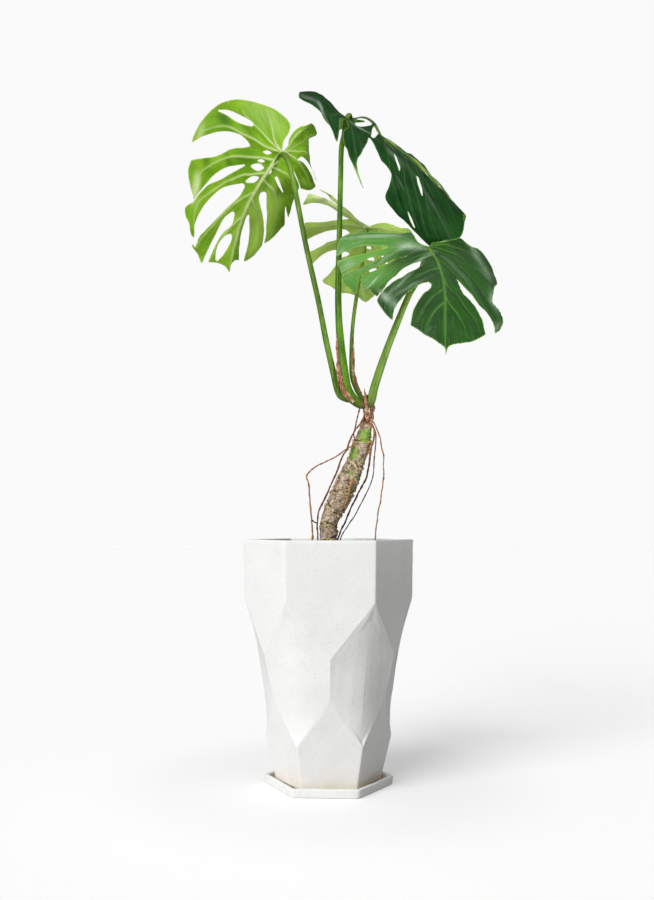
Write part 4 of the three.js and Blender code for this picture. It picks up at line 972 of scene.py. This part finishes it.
def trimmed(field, layers):
    # marching triangles: keeps the grid where the field is below zero; a crossing edge is cut where it is zero
    rows, columns = field.shape
    number = np.arange(rows * columns).reshape(rows, columns)
    a, b, c, d = number[:-1, :-1], number[:-1, 1:], number[1:, 1:], number[1:, :-1]
    triangles = np.concatenate([np.stack([a, b, c], -1).reshape(-1, 3), np.stack([a, c, d], -1).reshape(-1, 3)])
    f = field.ravel()
    inside = f < 0
    kept = inside[triangles].sum(1)
    whole = triangles[kept == 3]
    cut = triangles[(kept == 1) | (kept == 2)]
    isOne = inside[cut].sum(1) == 1
    odd = np.where(isOne, inside[cut].argmax(1), inside[cut].argmin(1))
    p, q, r = np.take_along_axis(cut, (odd[:, None] + np.arange(3)) % 3, 1).T
    pairs = np.concatenate([np.stack([p, q], -1), np.stack([p, r], -1)])
    low, high = pairs.min(1), pairs.max(1)
    codes, back = np.unique(low.astype(np.int64) * f.size + high, return_inverse=True)
    i, j = codes // f.size, codes % f.size
    w = f[i] / (f[i] - f[j])
    x, y = f.size + back[:len(p)], f.size + back[len(p):]
    made = [np.stack([p, x, y], -1)[isOne], np.stack([x, q, r], -1)[~isOne], np.stack([x, r, y], -1)[~isOne]]
    triangles = np.concatenate([whole, *made])
    used, triangles = np.unique(triangles, return_inverse=True)
    results = []
    for values in layers:
        values = values.reshape(f.size, -1)
        full = np.concatenate([values, values[i] + (values[j] - values[i]) * w[:, None]])
        results.append(full[used])
    return results, triangles.reshape(-1, 3)


def openEdges(triangles):
    # directed edges that no neighbour runs back along
    edges = np.concatenate([triangles[:, [0, 1]], triangles[:, [1, 2]], triangles[:, [2, 0]]]).astype(np.int64)
    size = edges.max() + 1
    return edges[~np.isin(edges[:, 0] * size + edges[:, 1], edges[:, 1] * size + edges[:, 0])]


def easedInside(points, low, high):
    # a coordinate less than `ease` mm from the limit is eased so that it never passes it: l - e exp(-(e - d)/e)
    ease = bladeGrid["ease"]
    for i in range(3):
        d = high[i] - ease - points[:, i]
        points[:, i] = np.where(d < 0, high[i] - ease * np.exp(d / ease), points[:, i])
        d = points[:, i] - low[i] - ease
        points[:, i] = np.where(d < 0, low[i] + ease * np.exp(d / ease), points[:, i])
    return points


def patchSum(spots, u, v):
    # soft patches: strength * exp(-distance²), each patch long or wide and turned its own way
    total = np.zeros(u.shape)
    for x, y, halfLong, halfWide, turn, strength in spots:
        c, s = np.cos(np.radians(turn)), np.sin(np.radians(turn))
        along, beside = (u - x) * c + (v - y) * s, (v - y) * c - (u - x) * s
        total += strength * np.exp(-(along / halfLong) ** 2 - (beside / halfWide) ** 2)
    return total


def bladeShape(blade, limits):
    # the bent surface, raised along its normal by gutters between the veins, pleats beside them and slow waves;
    # the upper sheet lies half a thickness above it and the lower half a thickness and the ribs below it
    outline = np.array(blade["outline"], float)
    low, high = outline.min(0) - bladeGrid["margin"], outline.max(0) + bladeGrid["margin"]
    u, v = np.meshgrid(*[np.arange(low[i], high[i], bladeGrid["step"]) for i in range(2)])
    u = u - u[0, np.argmin(np.abs(u[0]))]
    field = cutField(blade, u, v)
    gap, line, rib = veinField(blade, u, v)
    flat = np.stack([u, v], -1)
    base = bladeSurface(blade, u, v)
    lift = blade["gutter"] * (1 - bell(gap, 0, blade["gutterReach"]))
    lift += blade["pleat"] * np.sin(gap * 2 * np.pi / bladeGrid["pleatGap"]) * fade(1.5, 5, gap)
    lift += clouds(flat, bladeGrid["clouds"])
    lift *= fade(0, 10, np.hypot(u, v))
    lift += patchSum(blade["humps"], u, v)
    middle = base + upward(base) * lift[..., None]
    normal = upward(middle)
    share = bladeGrid["rimThick"] + (1 - bladeGrid["rimThick"]) * fade(0, bladeGrid["rimReach"], -field)
    half = bladeGrid["thick"] / 2 * share
    top = middle + normal * (half - bladeGrid["veinDip"] * line)[..., None]
    bottom = middle - normal * (half + rib)[..., None]
    far = bladeGrid["layerReach"]
    # the tone layer is the painted light and shade, the gleam layer the painted highlights and painted light
    layers = [top, bottom, flat, line, gap / far, np.clip(-field, 0, far) / far,
              patchSum(blade["paintedLightAndShade"], u, v), patchSum(blade["gleams"], u, v)]
    (top, bottom, flat, line, gap, edge, tone, gleam), triangles = trimmed(field, layers)
    rim = openEdges(triangles)
    count = len(top)
    faces = [np.concatenate([triangles, triangles[:, ::-1] + count]),
             np.stack([rim[:, 0], rim[:, 0] + count, rim[:, 1] + count, rim[:, 1]], -1)]
    twice = lambda values: np.concatenate([values, values])
    layers = {"vein": line, "veinGap": gap, "rimGap": edge, "tone": tone, "gleam": gleam}
    layers = {key: twice(values).ravel() for key, values in layers.items()}
    layers["under"] = np.repeat([0.0, 1.0], count)
    return easedInside(np.concatenate([top, bottom]), *limits), faces, twice(flat) / 100, layers


def leafSide(tree, look, side, drift, streak, mottle, streaks, mottled):
    # green of one side: cloudy, with streaks (start, end and strength) and fine mottling (its strength)
    dark = look[side + "Dark"]
    body = turned(tree, dark, look[side], drift, 0.32, 0.68)
    body = turned(tree, body, look[side + "Streak"], streak, *streaks[:2], 0, streaks[2])
    return turned(tree, body, dark, mottle, 0.4, 0.75, 0, mottled)


def leafFinish(name, look):
    # waxy leaf: cloudy green with streaks that run beside the veins, pale veins and rim, duller lighter underside,
    # painted light and shade from the tone layer and painted highlights from the gleam layer
    look = {key: paint(*value) if isinstance(value, tuple) else value for key, value in look.items()}
    finish, tree, shader = newFinish(name, {
        "Specular IOR Level": look["gloss"], "Coat Roughness": 0.3, "Coat Weight": look["coat"]})
    flat = add(tree, "UVMap", uv_map="flat").outputs[0]
    gap, under = layer(tree, "veinGap"), layer(tree, "under")
    place = add(tree, "SeparateXYZ", {0: flat})
    beside = add(tree, "CombineXYZ", {0: times(tree, gap, 16.0), 1: place.outputs[0], 2: place.outputs[1]})
    streak = noise(tree, beside.outputs[0], 1.6, 4, 0.6)
    drift, mottle = noise(tree, flat, 2.6, 4), noise(tree, flat, 34, 3, 0.6)
    upper = leafSide(tree, look, "upper", drift, streak, mottle, (0.42, 0.7, 0.6), 0.3)
    lower = leafSide(tree, look, "lower", drift, streak, mottle, (0.4, 0.72, 0.55), 0.22)
    body = mixed(tree, under, upper, lower)
    # painted light toward the sheen colour where the tone layer is above zero, painted shade toward the shade colour
    # where it is below
    tone = layer(tree, "tone")
    body = turned(tree, body, look["sheen"], tone, 0, 1)
    body = turned(tree, body, look["shade"], tone, 0, -1)
    # painted highlights and painted light: the gleam layer, broken up by the streaks, toward the gleam colour
    paintedHighlight = times(tree, layer(tree, "gleam"), spread(tree, streak, 0.3, 0.7, 0.65, 1))
    body = turned(tree, body, look["gleam"], paintedHighlight, 0, 1)
    body = mixed(tree, times(tree, spread(tree, gap, 0.28, 0.02), look["halo"]), body, look["veinHalo"])
    vein = layer(tree, "vein")
    rank = spread(tree, vein, 0.75, 1.0, look["veinStrength"], look["ribStrength"])
    pale = mixed(tree, under, look["upperVein"], look["lowerVein"])
    body = mixed(tree, times(tree, vein, rank), body, pale)
    body = mixed(tree, times(tree, spread(tree, layer(tree, "rimGap"), 0.07, 0.0), 0.85), body, look["edge"])
    rough = spread(tree, under, 0, 1, look["roughUpper"], look["roughLower"])
    rough = plus(tree, rough, spread(tree, mottle, 0.3, 0.7, -0.05, 0.06))
    tree.links.new(rough, shader.inputs["Roughness"])
    cells = add(tree, "TexVoronoi", {"Vector": flat, "Scale": 40.0}, feature="DISTANCE_TO_EDGE").outputs["Distance"]
    height = plus(tree, times(tree, spread(tree, cells, 0, 0.12), 0.35), streak)
    dress(tree, shader, body, height, look["tooth"], 0.0004)
    return finish


# screen colours, then strengths and shader constants of each blade's skin. Besides the leaf's own dark upper side
# and lighter underside, the paler, yellower greens of the left and back blades are partly painted glow of light
# shining through them; sheen, shade and gleam are colours of painted light, painted shade and painted highlights
leafLooks = {
    "left": {
        "upperDark": (58, 116, 40), "upper": (92, 156, 60), "upperStreak": (118, 176, 78),
        "lowerDark": (92, 142, 10), "lower": (122, 168, 28), "lowerStreak": (154, 190, 66),
        "upperVein": (176, 204, 120), "lowerVein": (206, 218, 156), "veinHalo": (130, 170, 56),
        "edge": (186, 206, 120), "sheen": (200, 218, 150), "shade": (60, 106, 6),
        "gleam": (198, 240, 100), "halo": 0.3, "veinStrength": 0.9, "ribStrength": 0.95, "gloss": 0.1,
        "coat": 0.0, "roughUpper": 0.4, "roughLower": 0.55, "tooth": 0.1},
    "top": {
        "upperDark": (10, 40, 10), "upper": (20, 62, 18), "upperStreak": (34, 80, 30),
        "lowerDark": (110, 156, 66), "lower": (150, 190, 98), "lowerStreak": (178, 210, 128),
        "upperVein": (92, 118, 88), "lowerVein": (206, 222, 160), "veinHalo": (30, 72, 28),
        "edge": (104, 144, 64), "sheen": (160, 194, 92), "shade": (10, 30, 14),
        "gleam": (150, 164, 148), "halo": 0.3, "veinStrength": 0.5, "ribStrength": 0.6, "gloss": 0.1,
        "coat": 0.0, "roughUpper": 0.5, "roughLower": 0.5, "tooth": 0.06},
    "back": {
        "upperDark": (64, 118, 44), "upper": (98, 154, 62), "upperStreak": (126, 176, 82),
        "lowerDark": (152, 196, 64), "lower": (182, 216, 92), "lowerStreak": (206, 230, 128),
        "upperVein": (176, 204, 120), "lowerVein": (226, 232, 186), "veinHalo": (158, 186, 78),
        "edge": (188, 208, 124), "sheen": (214, 224, 172), "shade": (96, 138, 40),
        "gleam": (220, 230, 200), "halo": 0.2, "veinStrength": 0.75, "ribStrength": 0.9, "gloss": 0.3,
        "coat": 0.0, "roughUpper": 0.38, "roughLower": 0.5, "tooth": 0.1},
    "right": {
        "upperDark": (18, 52, 10), "upper": (31, 74, 20), "upperStreak": (60, 110, 44),
        "lowerDark": (104, 156, 64), "lower": (140, 186, 88), "lowerStreak": (166, 204, 112),
        "upperVein": (130, 178, 78), "lowerVein": (206, 222, 150), "veinHalo": (58, 118, 30),
        "edge": (140, 176, 80), "sheen": (92, 148, 58), "shade": (22, 62, 8),
        "gleam": (182, 204, 176), "halo": 0.15, "veinStrength": 0.34, "ribStrength": 0.7, "gloss": 0.3,
        "coat": 0.05, "roughUpper": 0.4, "roughLower": 0.5, "tooth": 0.1},
}
for name, blade in blades.items():
    points, faces, flat, layers = bladeShape(blade, [np.array(corner) / mm for corner in cadBox])
    makePiece("leaf_" + name, points, faces, leafFinish("leaf_" + name + "_skin", leafLooks[name]),
              "blade_" + name, ["leaf_blade_" + name], flat, layers)
print("leaves hang")

stalks = {
    # centre and radius of each section, from inside the crown to the knee under the blade
    "top": {
        "sections": [
            (58, -1, 583, 6), (47, -7, 584, 7), (35, -8, 594, 7.7), (27, -7, 611, 7.6), (23, -5, 638, 6.9),
            (19, -3, 673, 6.2), (16, -1, 712, 5.4), (15, 2, 759, 4.9), (17, 9, 855, 4.3), (19, 16, 943, 3.9),
            (20, 19, 983, 4.1), (24, 19, 1006, 3.9), (27, 16, 1022, 4.5), (32, 12, 1033, 4.2)],
        "colours": (paint(50, 92, 10), paint(84, 130, 18), paint(126, 166, 44))},
    "left": {
        "sections": [
            (42, -1, 590, 4.6), (25, -1, 593, 5), (15, -1, 603, 5.2), (7, -2, 634, 4.8), (-4, -1, 683, 4.5),
            (-16, 2, 745, 4.2), (-35, 8, 831, 4.1), (-55, 14, 934, 4), (-62, 14, 960, 4.1), (-67, 15, 972, 4.3)],
        "colours": (paint(66, 104, 20), paint(98, 136, 36), paint(146, 174, 80))},
    "right": {
        "sections": [
            (62, -2, 580, 6), (66, -7, 590, 6.6), (71, -8, 612, 6.4), (88, -13, 663, 5.6), (106, -23, 709, 5),
            (120, -34, 742, 4.6), (131, -43, 761, 4.4), (142, -53, 789, 4.1), (146, -59, 800, 4.3)],
        "colours": (paint(80, 118, 20), paint(108, 144, 40), paint(142, 172, 70))},
    "back": {
        "sections": [
            (60, 3, 588, 4), (52, 11, 595, 4), (42, 12, 612, 3.7), (36, 13, 634, 3.4), (36, 17, 679, 3.1),
            (39, 25, 720, 3), (46, 36, 770, 3), (54, 50, 818, 3), (60, 62, 856, 3.1), (61, 67, 867, 3.3)],
        "colours": (paint(74, 112, 26), paint(108, 146, 40), paint(148, 176, 72))},
}
stalkCut = {
    "rows": 250, "sides": 36, "channel": 0.14, "channelHalf": 0.42, "knee": 0.14, "kneeHalf": 0.035,
    "kneeRings": 0.035, "kneeRipple": 620, "kneeBack": 1.4,
    # where the stalk runs on under the midrib: v and radius, and how far below the blade
    "tail": [(8.0, 3.0), (18.0, 2.2), (30.0, 1.0)], "drop": 1.2,
}


def stalkShape(stalk, blade):
    # rings along the stalk and on under the blade's midrib; a shallow channel, a swollen ringed knee below the
    # blade and a broad sheath at the foot
    cut = stalkCut
    places, radii = np.array(cut["tail"]).T
    under = upward(bladeSurface(blade, *np.meshgrid([-1.0, 0.0, 1.0], places)))[:, 1] * cut["drop"]
    tail = np.column_stack([bladeSurface(blade, np.zeros(len(places)), places) - under, radii])
    line, t = drawn(np.concatenate([stalk["sections"], tail]), cut["rows"])
    along = (t / t[-1])[:, None]
    turn = around(cut["sides"])
    radius = np.repeat(line[:, 3:4], cut["sides"], 1)
    channel = bell(turn[None] - np.pi / 2 + 0.4 * np.sin(4 * along), 0, cut["channelHalf"])
    radius *= 1 - cut["channel"] * channel * fade(0.08, 0.25, along) * fade(0.85, 0.7, along)
    knee = bell(along, (len(stalk["sections"]) - cut["kneeBack"]) / t[-1], cut["kneeHalf"])
    ridges = 0.5 + 0.5 * np.sin(along * cut["kneeRipple"])
    radius *= 1 + knee * (cut["knee"] - cut["kneeRings"] * ridges)
    radius *= 1 + 0.02 * np.sin(7 * turn + 3 * along) + 0.012 * np.sin(along * 60)
    full = np.ones_like(radius)
    return ringsAlong(line[:, :3], radius), {"knee": knee * full, "foot": fade(0.13, 0.02, along) * full}


def stalkFinish(name, colours):
    # smooth green stalk: fine lengthwise streaks, pale flecks, an olive knee and a browner foot
    dark, middle, light = colours
    finish, tree, shader = newFinish(name, {
        "Specular IOR Level": 0.25, "Roughness": 0.42, "Subsurface Weight": 0.04,
        "Subsurface Radius": (0.6, 1.0, 0.25), "Subsurface Scale": 0.002})
    place = ownPlace(tree)
    streak = strands(tree, place, (700, 700, 14))
    drift = strands(tree, place, (60, 60, 18), 3, 0.55)
    body = turned(tree, dark, middle, drift, 0.35, 0.65)
    body = turned(tree, body, light, streak, 0.45, 0.75, 0, 0.6)
    flecks = add(tree, "TexVoronoi", {"Vector": stretched(tree, place, (1, 1, 0.45)), "Scale": 620.0})
    body = turned(tree, body, light, flecks.outputs["Distance"], 0.22, 0.12, 0, 0.35)
    body = mixed(tree, times(tree, layer(tree, "knee"), 0.75), body, paint(96, 112, 44))
    old = times(tree, layer(tree, "foot"), spread(tree, drift, 0.3, 0.6, 0.35, 0.95))
    body = mixed(tree, old, body, paint(92, 82, 46))
    tree.links.new(spread(tree, streak, 0.3, 0.7, 0.36, 0.5), shader.inputs["Roughness"])
    dress(tree, shader, body, streak, 0.25, 0.0005)
    return finish


for name, stalk in stalks.items():
    rows, layers = stalkShape(stalk, blades[name])
    makePiece("stalk_" + name, *capped(rows), stalkFinish("stalk_" + name + "_skin", stalk["colours"]), "stalk",
              ["leaf_stalk_" + name], layers=withPoles(layers))
print("stalks stand")

roots = {
    # points, radius at the start and end, and the bark's two tones
    "neck_left": ([(50, -4, 586), (47, -8, 575), (44, -9.5, 562), (41, -10, 549), (39, -10, 537),
                   (41, -4, 527)], 1.2, 0.9, "warm"),
    "long_left": ([
        (57, -2, 566), (52, -9, 559), (45, -13, 548), (37, -13, 537), (29, -12, 516), (20, -13, 500),
        (12, -14, 478), (1, -15, 454), (-8, -14, 434), (-15, -12, 417), (-17, -10, 398), (-16, -8, 378),
        (-14, -6, 344)], 1.4, 1.25, "warm"),
    "kneed": ([
        (43, -4, 521), (31, -14, 516), (20, -19, 508), (8, -22, 500), (-6, -25, 493), (-18, -28, 487),
        (-31, -30, 476), (-33, -30, 470), (-30, -29, 460), (-28, -27, 435), (-26, -25, 408), (-24, -23, 380),
        (-22, -21, 344)], 1.05, 1.2, "orange"),
    "link": ([(-24.6, -24.6, 405), (-21, -20, 402), (-17.4, -11.6, 401)], 1.0, 1.0, "dark"),
    "right_inner": ([
        (60, -2, 557), (68, -8, 548), (70, -10, 538), (69, -10, 526), (66, -10, 518), (63, -11, 501),
        (61, -11, 483), (55, -12, 464), (43, -14, 442), (35, -15, 425), (27, -15, 406), (20, -14, 391),
        (14, -13, 374), (11, -12, 344)], 1.5, 1.3, "dark"),
    "right_middle": ([
        (60, 2, 561), (69, 4, 551), (73, 5, 538), (73, 5, 522), (71, 6, 508), (70, 6, 485), (66, 6, 464),
        (56, 5, 442), (43, 3, 417), (31, 1, 398), (23, -1, 386), (18, -3, 372), (17, -4, 344)], 1.0, 0.8, "dark"),
    "right_outer": ([
        (60, -1, 567), (69, -2, 556), (75, -3, 544), (79, -4, 531), (83, -5, 512), (85, -5, 485),
        (83, -4, 458), (79, -3, 431), (75, -2, 406), (72, 0, 379), (70, 1, 344)], 1.0, 1.0, "orange"),
    "stem_front": ([
        (37, -7, 471), (35.5, -13.6, 464), (32.5, -13.3, 454), (29.5, -12.4, 441), (27, -10.4, 431),
        (24.4, -7, 423)], 1.6, 1.1, "gold"),
}
rootTones = {
    "warm": (paint(96, 52, 30), paint(168, 102, 62)), "orange": (paint(136, 82, 46), paint(200, 138, 86)),
    "dark": (paint(38, 20, 14), paint(92, 54, 36)), "gold": (paint(150, 104, 56), paint(214, 170, 104)),
}
rootCut = {
    "perPoint": 14, "sides": 12, "seed": 100, "sway": 0.28, "knots": 0.12, "facets": 0.06, "bendSwell": 0.9,
    # heights in metres between which the dark roots turn lighter
    "lightFrom": 0.47, "lightTo": 0.53,
}


def rootShape(points, startRadius, endRadius, seed):
    # thin rings along a smoothed line that sways slightly, with knots, and thicker where it bends sharply
    path, t = drawn(points, rootCut["perPoint"] * len(points))
    along = t / t[-1]
    sway = np.stack([cloud(path, 17, seed), cloud(path, 15, seed + 1), 0 * along], -1)
    path = path + rootCut["sway"] * sway * fade(0, 0.1, along)[:, None]
    knots = rootCut["knots"] * cloud(path, 6, seed + 2)[:, None]
    facets = rootCut["facets"] * np.sin(3 * around(rootCut["sides"]) + 9 * along[:, None])
    radius = (startRadius + (endRadius - startRadius) * along)[:, None] * (1 + knots + facets)
    bend = np.linalg.norm(np.gradient(unit(np.gradient(path, axis=0)), axis=0), axis=-1)
    return ringsAlong(path, radius * (1 + rootCut["bendSwell"] * fade(0.07, 0.14, bend))[:, None])


def rootFinish(tone):
    # corky skin: lengthwise fibres and darker knots; the dark roots are lighter where they leave the stem
    finish, tree, shader = newFinish("root_" + tone, {"Specular IOR Level": 0.25, "Roughness": 0.85})
    dark, light = rootTones[tone]
    place = ownPlace(tree)
    fibre = strands(tree, place, (900, 900, 80))
    knots = noise(tree, place, 120, 3)
    body = turned(tree, dark, light, fibre, 0.35, 0.65)
    body = turned(tree, body, dark, knots, 0.55, 0.7, 0, 0.7)
    if tone == "dark":
        height = add(tree, "SeparateXYZ", {0: place}).outputs[2]
        high = spread(tree, height, rootCut["lightFrom"], rootCut["lightTo"])
        body = mixed(tree, high, body, mixed(tree, fibre, dark, rootTones["orange"][1]))
    dress(tree, shader, body, fibre, 0.5, 0.0006)
    return finish


rootFinishes = {tone: rootFinish(tone) for tone in rootTones}
for k, (name, (points, startRadius, endRadius, tone)) in enumerate(roots.items()):
    rows = rootShape(np.array(points, float), startRadius, endRadius, rootCut["seed"] + 5 * k)
    makePiece("root_" + name, *capped(rows), rootFinishes[tone], "root", ["aerial_root_" + name])

sheaths = {
    "top_stalk": [
        (12.6, -6.6, 690, 0.8), (13.6, -8.6, 660, 2), (15.4, -10.6, 636, 3.0), (19, -13.4, 611, 3.8),
        (28, -16, 595, 3.6), (39, -15.6, 585, 2.4)],
    "back_stalk": [
        (38.6, 14, 690, 0.8), (38.6, 12, 655, 1.8), (38.8, 10.2, 634, 2.4), (44.5, 8.6, 613, 2.6),
        (51, 7.4, 602, 1.6)],
    "crown": [(55, -9, 608, 1), (56, -10.8, 596, 2.4), (57, -10.8, 586, 2.6), (58.5, -8.8, 575, 1.6)],
}
sheathCut = {"perSection": 26, "sides": 40, "seed": 200, "half": 0.32, "curl": 0.11, "crumple": 0.25}


def sheathShape(sections, seed):
    # a curled papery strip: flat rings x = w cos^0.8, z = h sin - curl x² + crumple, with a ragged width w
    line, t = drawn(sections, sheathCut["perSection"] * len(sections))
    path = line[:, :3]
    across, facing = sideFrame(path)
    c, s = np.cos(around(sheathCut["sides"])), np.sin(around(sheathCut["sides"]))
    ragged = 1 + 0.2 * cloud(path, 24, seed)[:, None] + 0.1 * cloud(path, 9, seed + 1)[:, None] * np.sign(c)
    x = line[:, 3:4] * ragged * np.sign(c) * np.abs(c) ** 0.8
    crumple = cloud(np.stack(np.broadcast_arrays(x, t[:, None] * 9), -1), 3.4, seed + 2)
    z = sheathCut["half"] * s - sheathCut["curl"] * x**2 + sheathCut["crumple"] * crumple
    return path[:, None] + across[:, None] * x[..., None] + facing[:, None] * z[..., None]


def sheathFinish():
    # dry papery skin: red-brown and straw fibres with pale patches
    finish, tree, shader = newFinish("dry_sheath", {
        "Specular IOR Level": 0.3, "Roughness": 0.8, "Subsurface Weight": 0.05, "Subsurface Scale": 0.001})
    place = ownPlace(tree)
    fibre = strands(tree, place, (800, 800, 50))
    patch = noise(tree, place, 90, 3)
    body = turned(tree, paint(96, 52, 34), paint(178, 124, 94), fibre, 0.35, 0.65)
    body = turned(tree, body, paint(204, 182, 152), patch, 0.5, 0.65, 0, 0.8)
    dress(tree, shader, body, fibre, 0.6, 0.0008)
    return finish


paper = sheathFinish()
for k, (name, sections) in enumerate(sheaths.items()):
    rows = sheathShape(np.array(sections, float), sheathCut["seed"] + 7 * k)
    makePiece("sheath_" + name, *capped(rows), paper, "dry_sheath", ["dry_sheath_" + name])
print("roots and sheaths hang")

studio = {
    "floor": 6.0, "backdrop": paint(250, 250, 251), "ambient": 0.22,
    # the floor's tone to the camera and to the light it throws back, and the brightness added for the camera
    # near the middle and further out, with the distances in metres
    "floorTone": 0.8, "bounce": 0.6, "liftNear": 0.3, "liftFar": 0.378, "near": 0.18, "far": 0.4,
    "suns": {
        "keyLight": {"aim": (62, 0, -37.5), "power": 2.65, "angle": 40},
        "topLight": {"aim": (8, 0, 0), "power": 0.35, "angle": 60}},
    "panels": {
        # place, what it is aimed at, width, power, beam
        "behindLight": {"place": (-0.55, 0.75, 1.55), "aim": (-0.03, 0.05, 0.93), "size": 0.9, "power": 0.15,
                        "beam": 60},
        "fillLight": {"place": (0.9, -0.8, 0.35), "aim": (-0.08, 0.02, 0.97), "size": 0.4, "power": 1.1,
                      "beam": 40}},
}


def layFloor(studio):
    # one pale sheet under everything; the camera sees it a little brighter than it is lit
    reach = studio["floor"]
    mesh = bpy.data.meshes.new("floor")
    corners = [(-reach, -reach, 0), (reach, -reach, 0), (reach, reach * 3, 0), (-reach, reach * 3, 0)]
    mesh.from_pydata(corners, [], [(0, 1, 2, 3)])
    floor = bpy.data.objects.new("floor", mesh)
    bpy.context.scene.collection.objects.link(floor)
    finish, tree, shader = newFinish("pale_floor", {
        "Roughness": 1.0, "Specular IOR Level": 0.0, "Emission Color": (1, 1, 1, 1)})
    place = ownPlace(tree)
    body = mixed(tree, noise(tree, place, 3, 2), grey(studio["floorTone"]), grey(studio["floorTone"] * 0.995))
    seen = add(tree, "LightPath").outputs["Is Camera Ray"]
    tree.links.new(mixed(tree, seen, grey(studio["bounce"]), body), shader.inputs["Base Color"])
    out = add(tree, "VectorMath", {0: place}, operation="LENGTH").outputs["Value"]
    lift = spread(tree, out, studio["near"], studio["far"], studio["liftNear"], studio["liftFar"])
    tree.links.new(times(tree, seen, lift), shader.inputs["Emission Strength"])
    mesh.materials.append(finish)


def hangSun(name, sun):
    # even light from one direction, soft by its angle
    light = bpy.data.lights.new(name, "SUN")
    light.energy, light.angle = sun["power"], np.radians(sun["angle"])
    lamp = bpy.data.objects.new(name, light)
    lamp.rotation_euler = np.radians(sun["aim"])
    bpy.context.scene.collection.objects.link(lamp)


def hangPanel(name, panel):
    # a square soft panel whose -Z looks from its place to its aim
    light = bpy.data.lights.new(name, "AREA")
    light.energy, light.size, light.spread = panel["power"], panel["size"], np.radians(panel["beam"])
    lamp = bpy.data.objects.new(name, light)
    lamp.location = panel["place"]
    away = Vector(panel["aim"]) - Vector(panel["place"])
    lamp.rotation_euler = away.to_track_quat("-Z", "Y").to_euler()
    lamp.visible_camera = False
    bpy.context.scene.collection.objects.link(lamp)


def lightWorld(studio):
    # the backdrop is bright to the camera and a dim even fill for everything else
    world = bpy.data.worlds.new("studio")
    bpy.context.scene.world = world
    world.use_nodes = True
    tree = world.node_tree
    shown = add(tree, "Background", {"Color": studio["backdrop"], "Strength": 1.0})
    tree.nodes["Background"].inputs["Color"].default_value = (1, 1, 1, 1)
    tree.nodes["Background"].inputs["Strength"].default_value = studio["ambient"]
    seen = add(tree, "LightPath").outputs["Is Camera Ray"]
    both = add(tree, "MixShader", {0: seen, 1: tree.nodes["Background"].outputs[0], 2: shown.outputs[0]})
    tree.links.new(both.outputs[0], tree.nodes["World Output"].inputs[0])


layFloor(studio)
for name, sun in studio["suns"].items():
    hangSun(name, sun)
for name, panel in studio["panels"].items():
    hangPanel(name, panel)
lightWorld(studio)
bpy.context.scene.view_settings.view_transform = "Standard"
print("lights on")
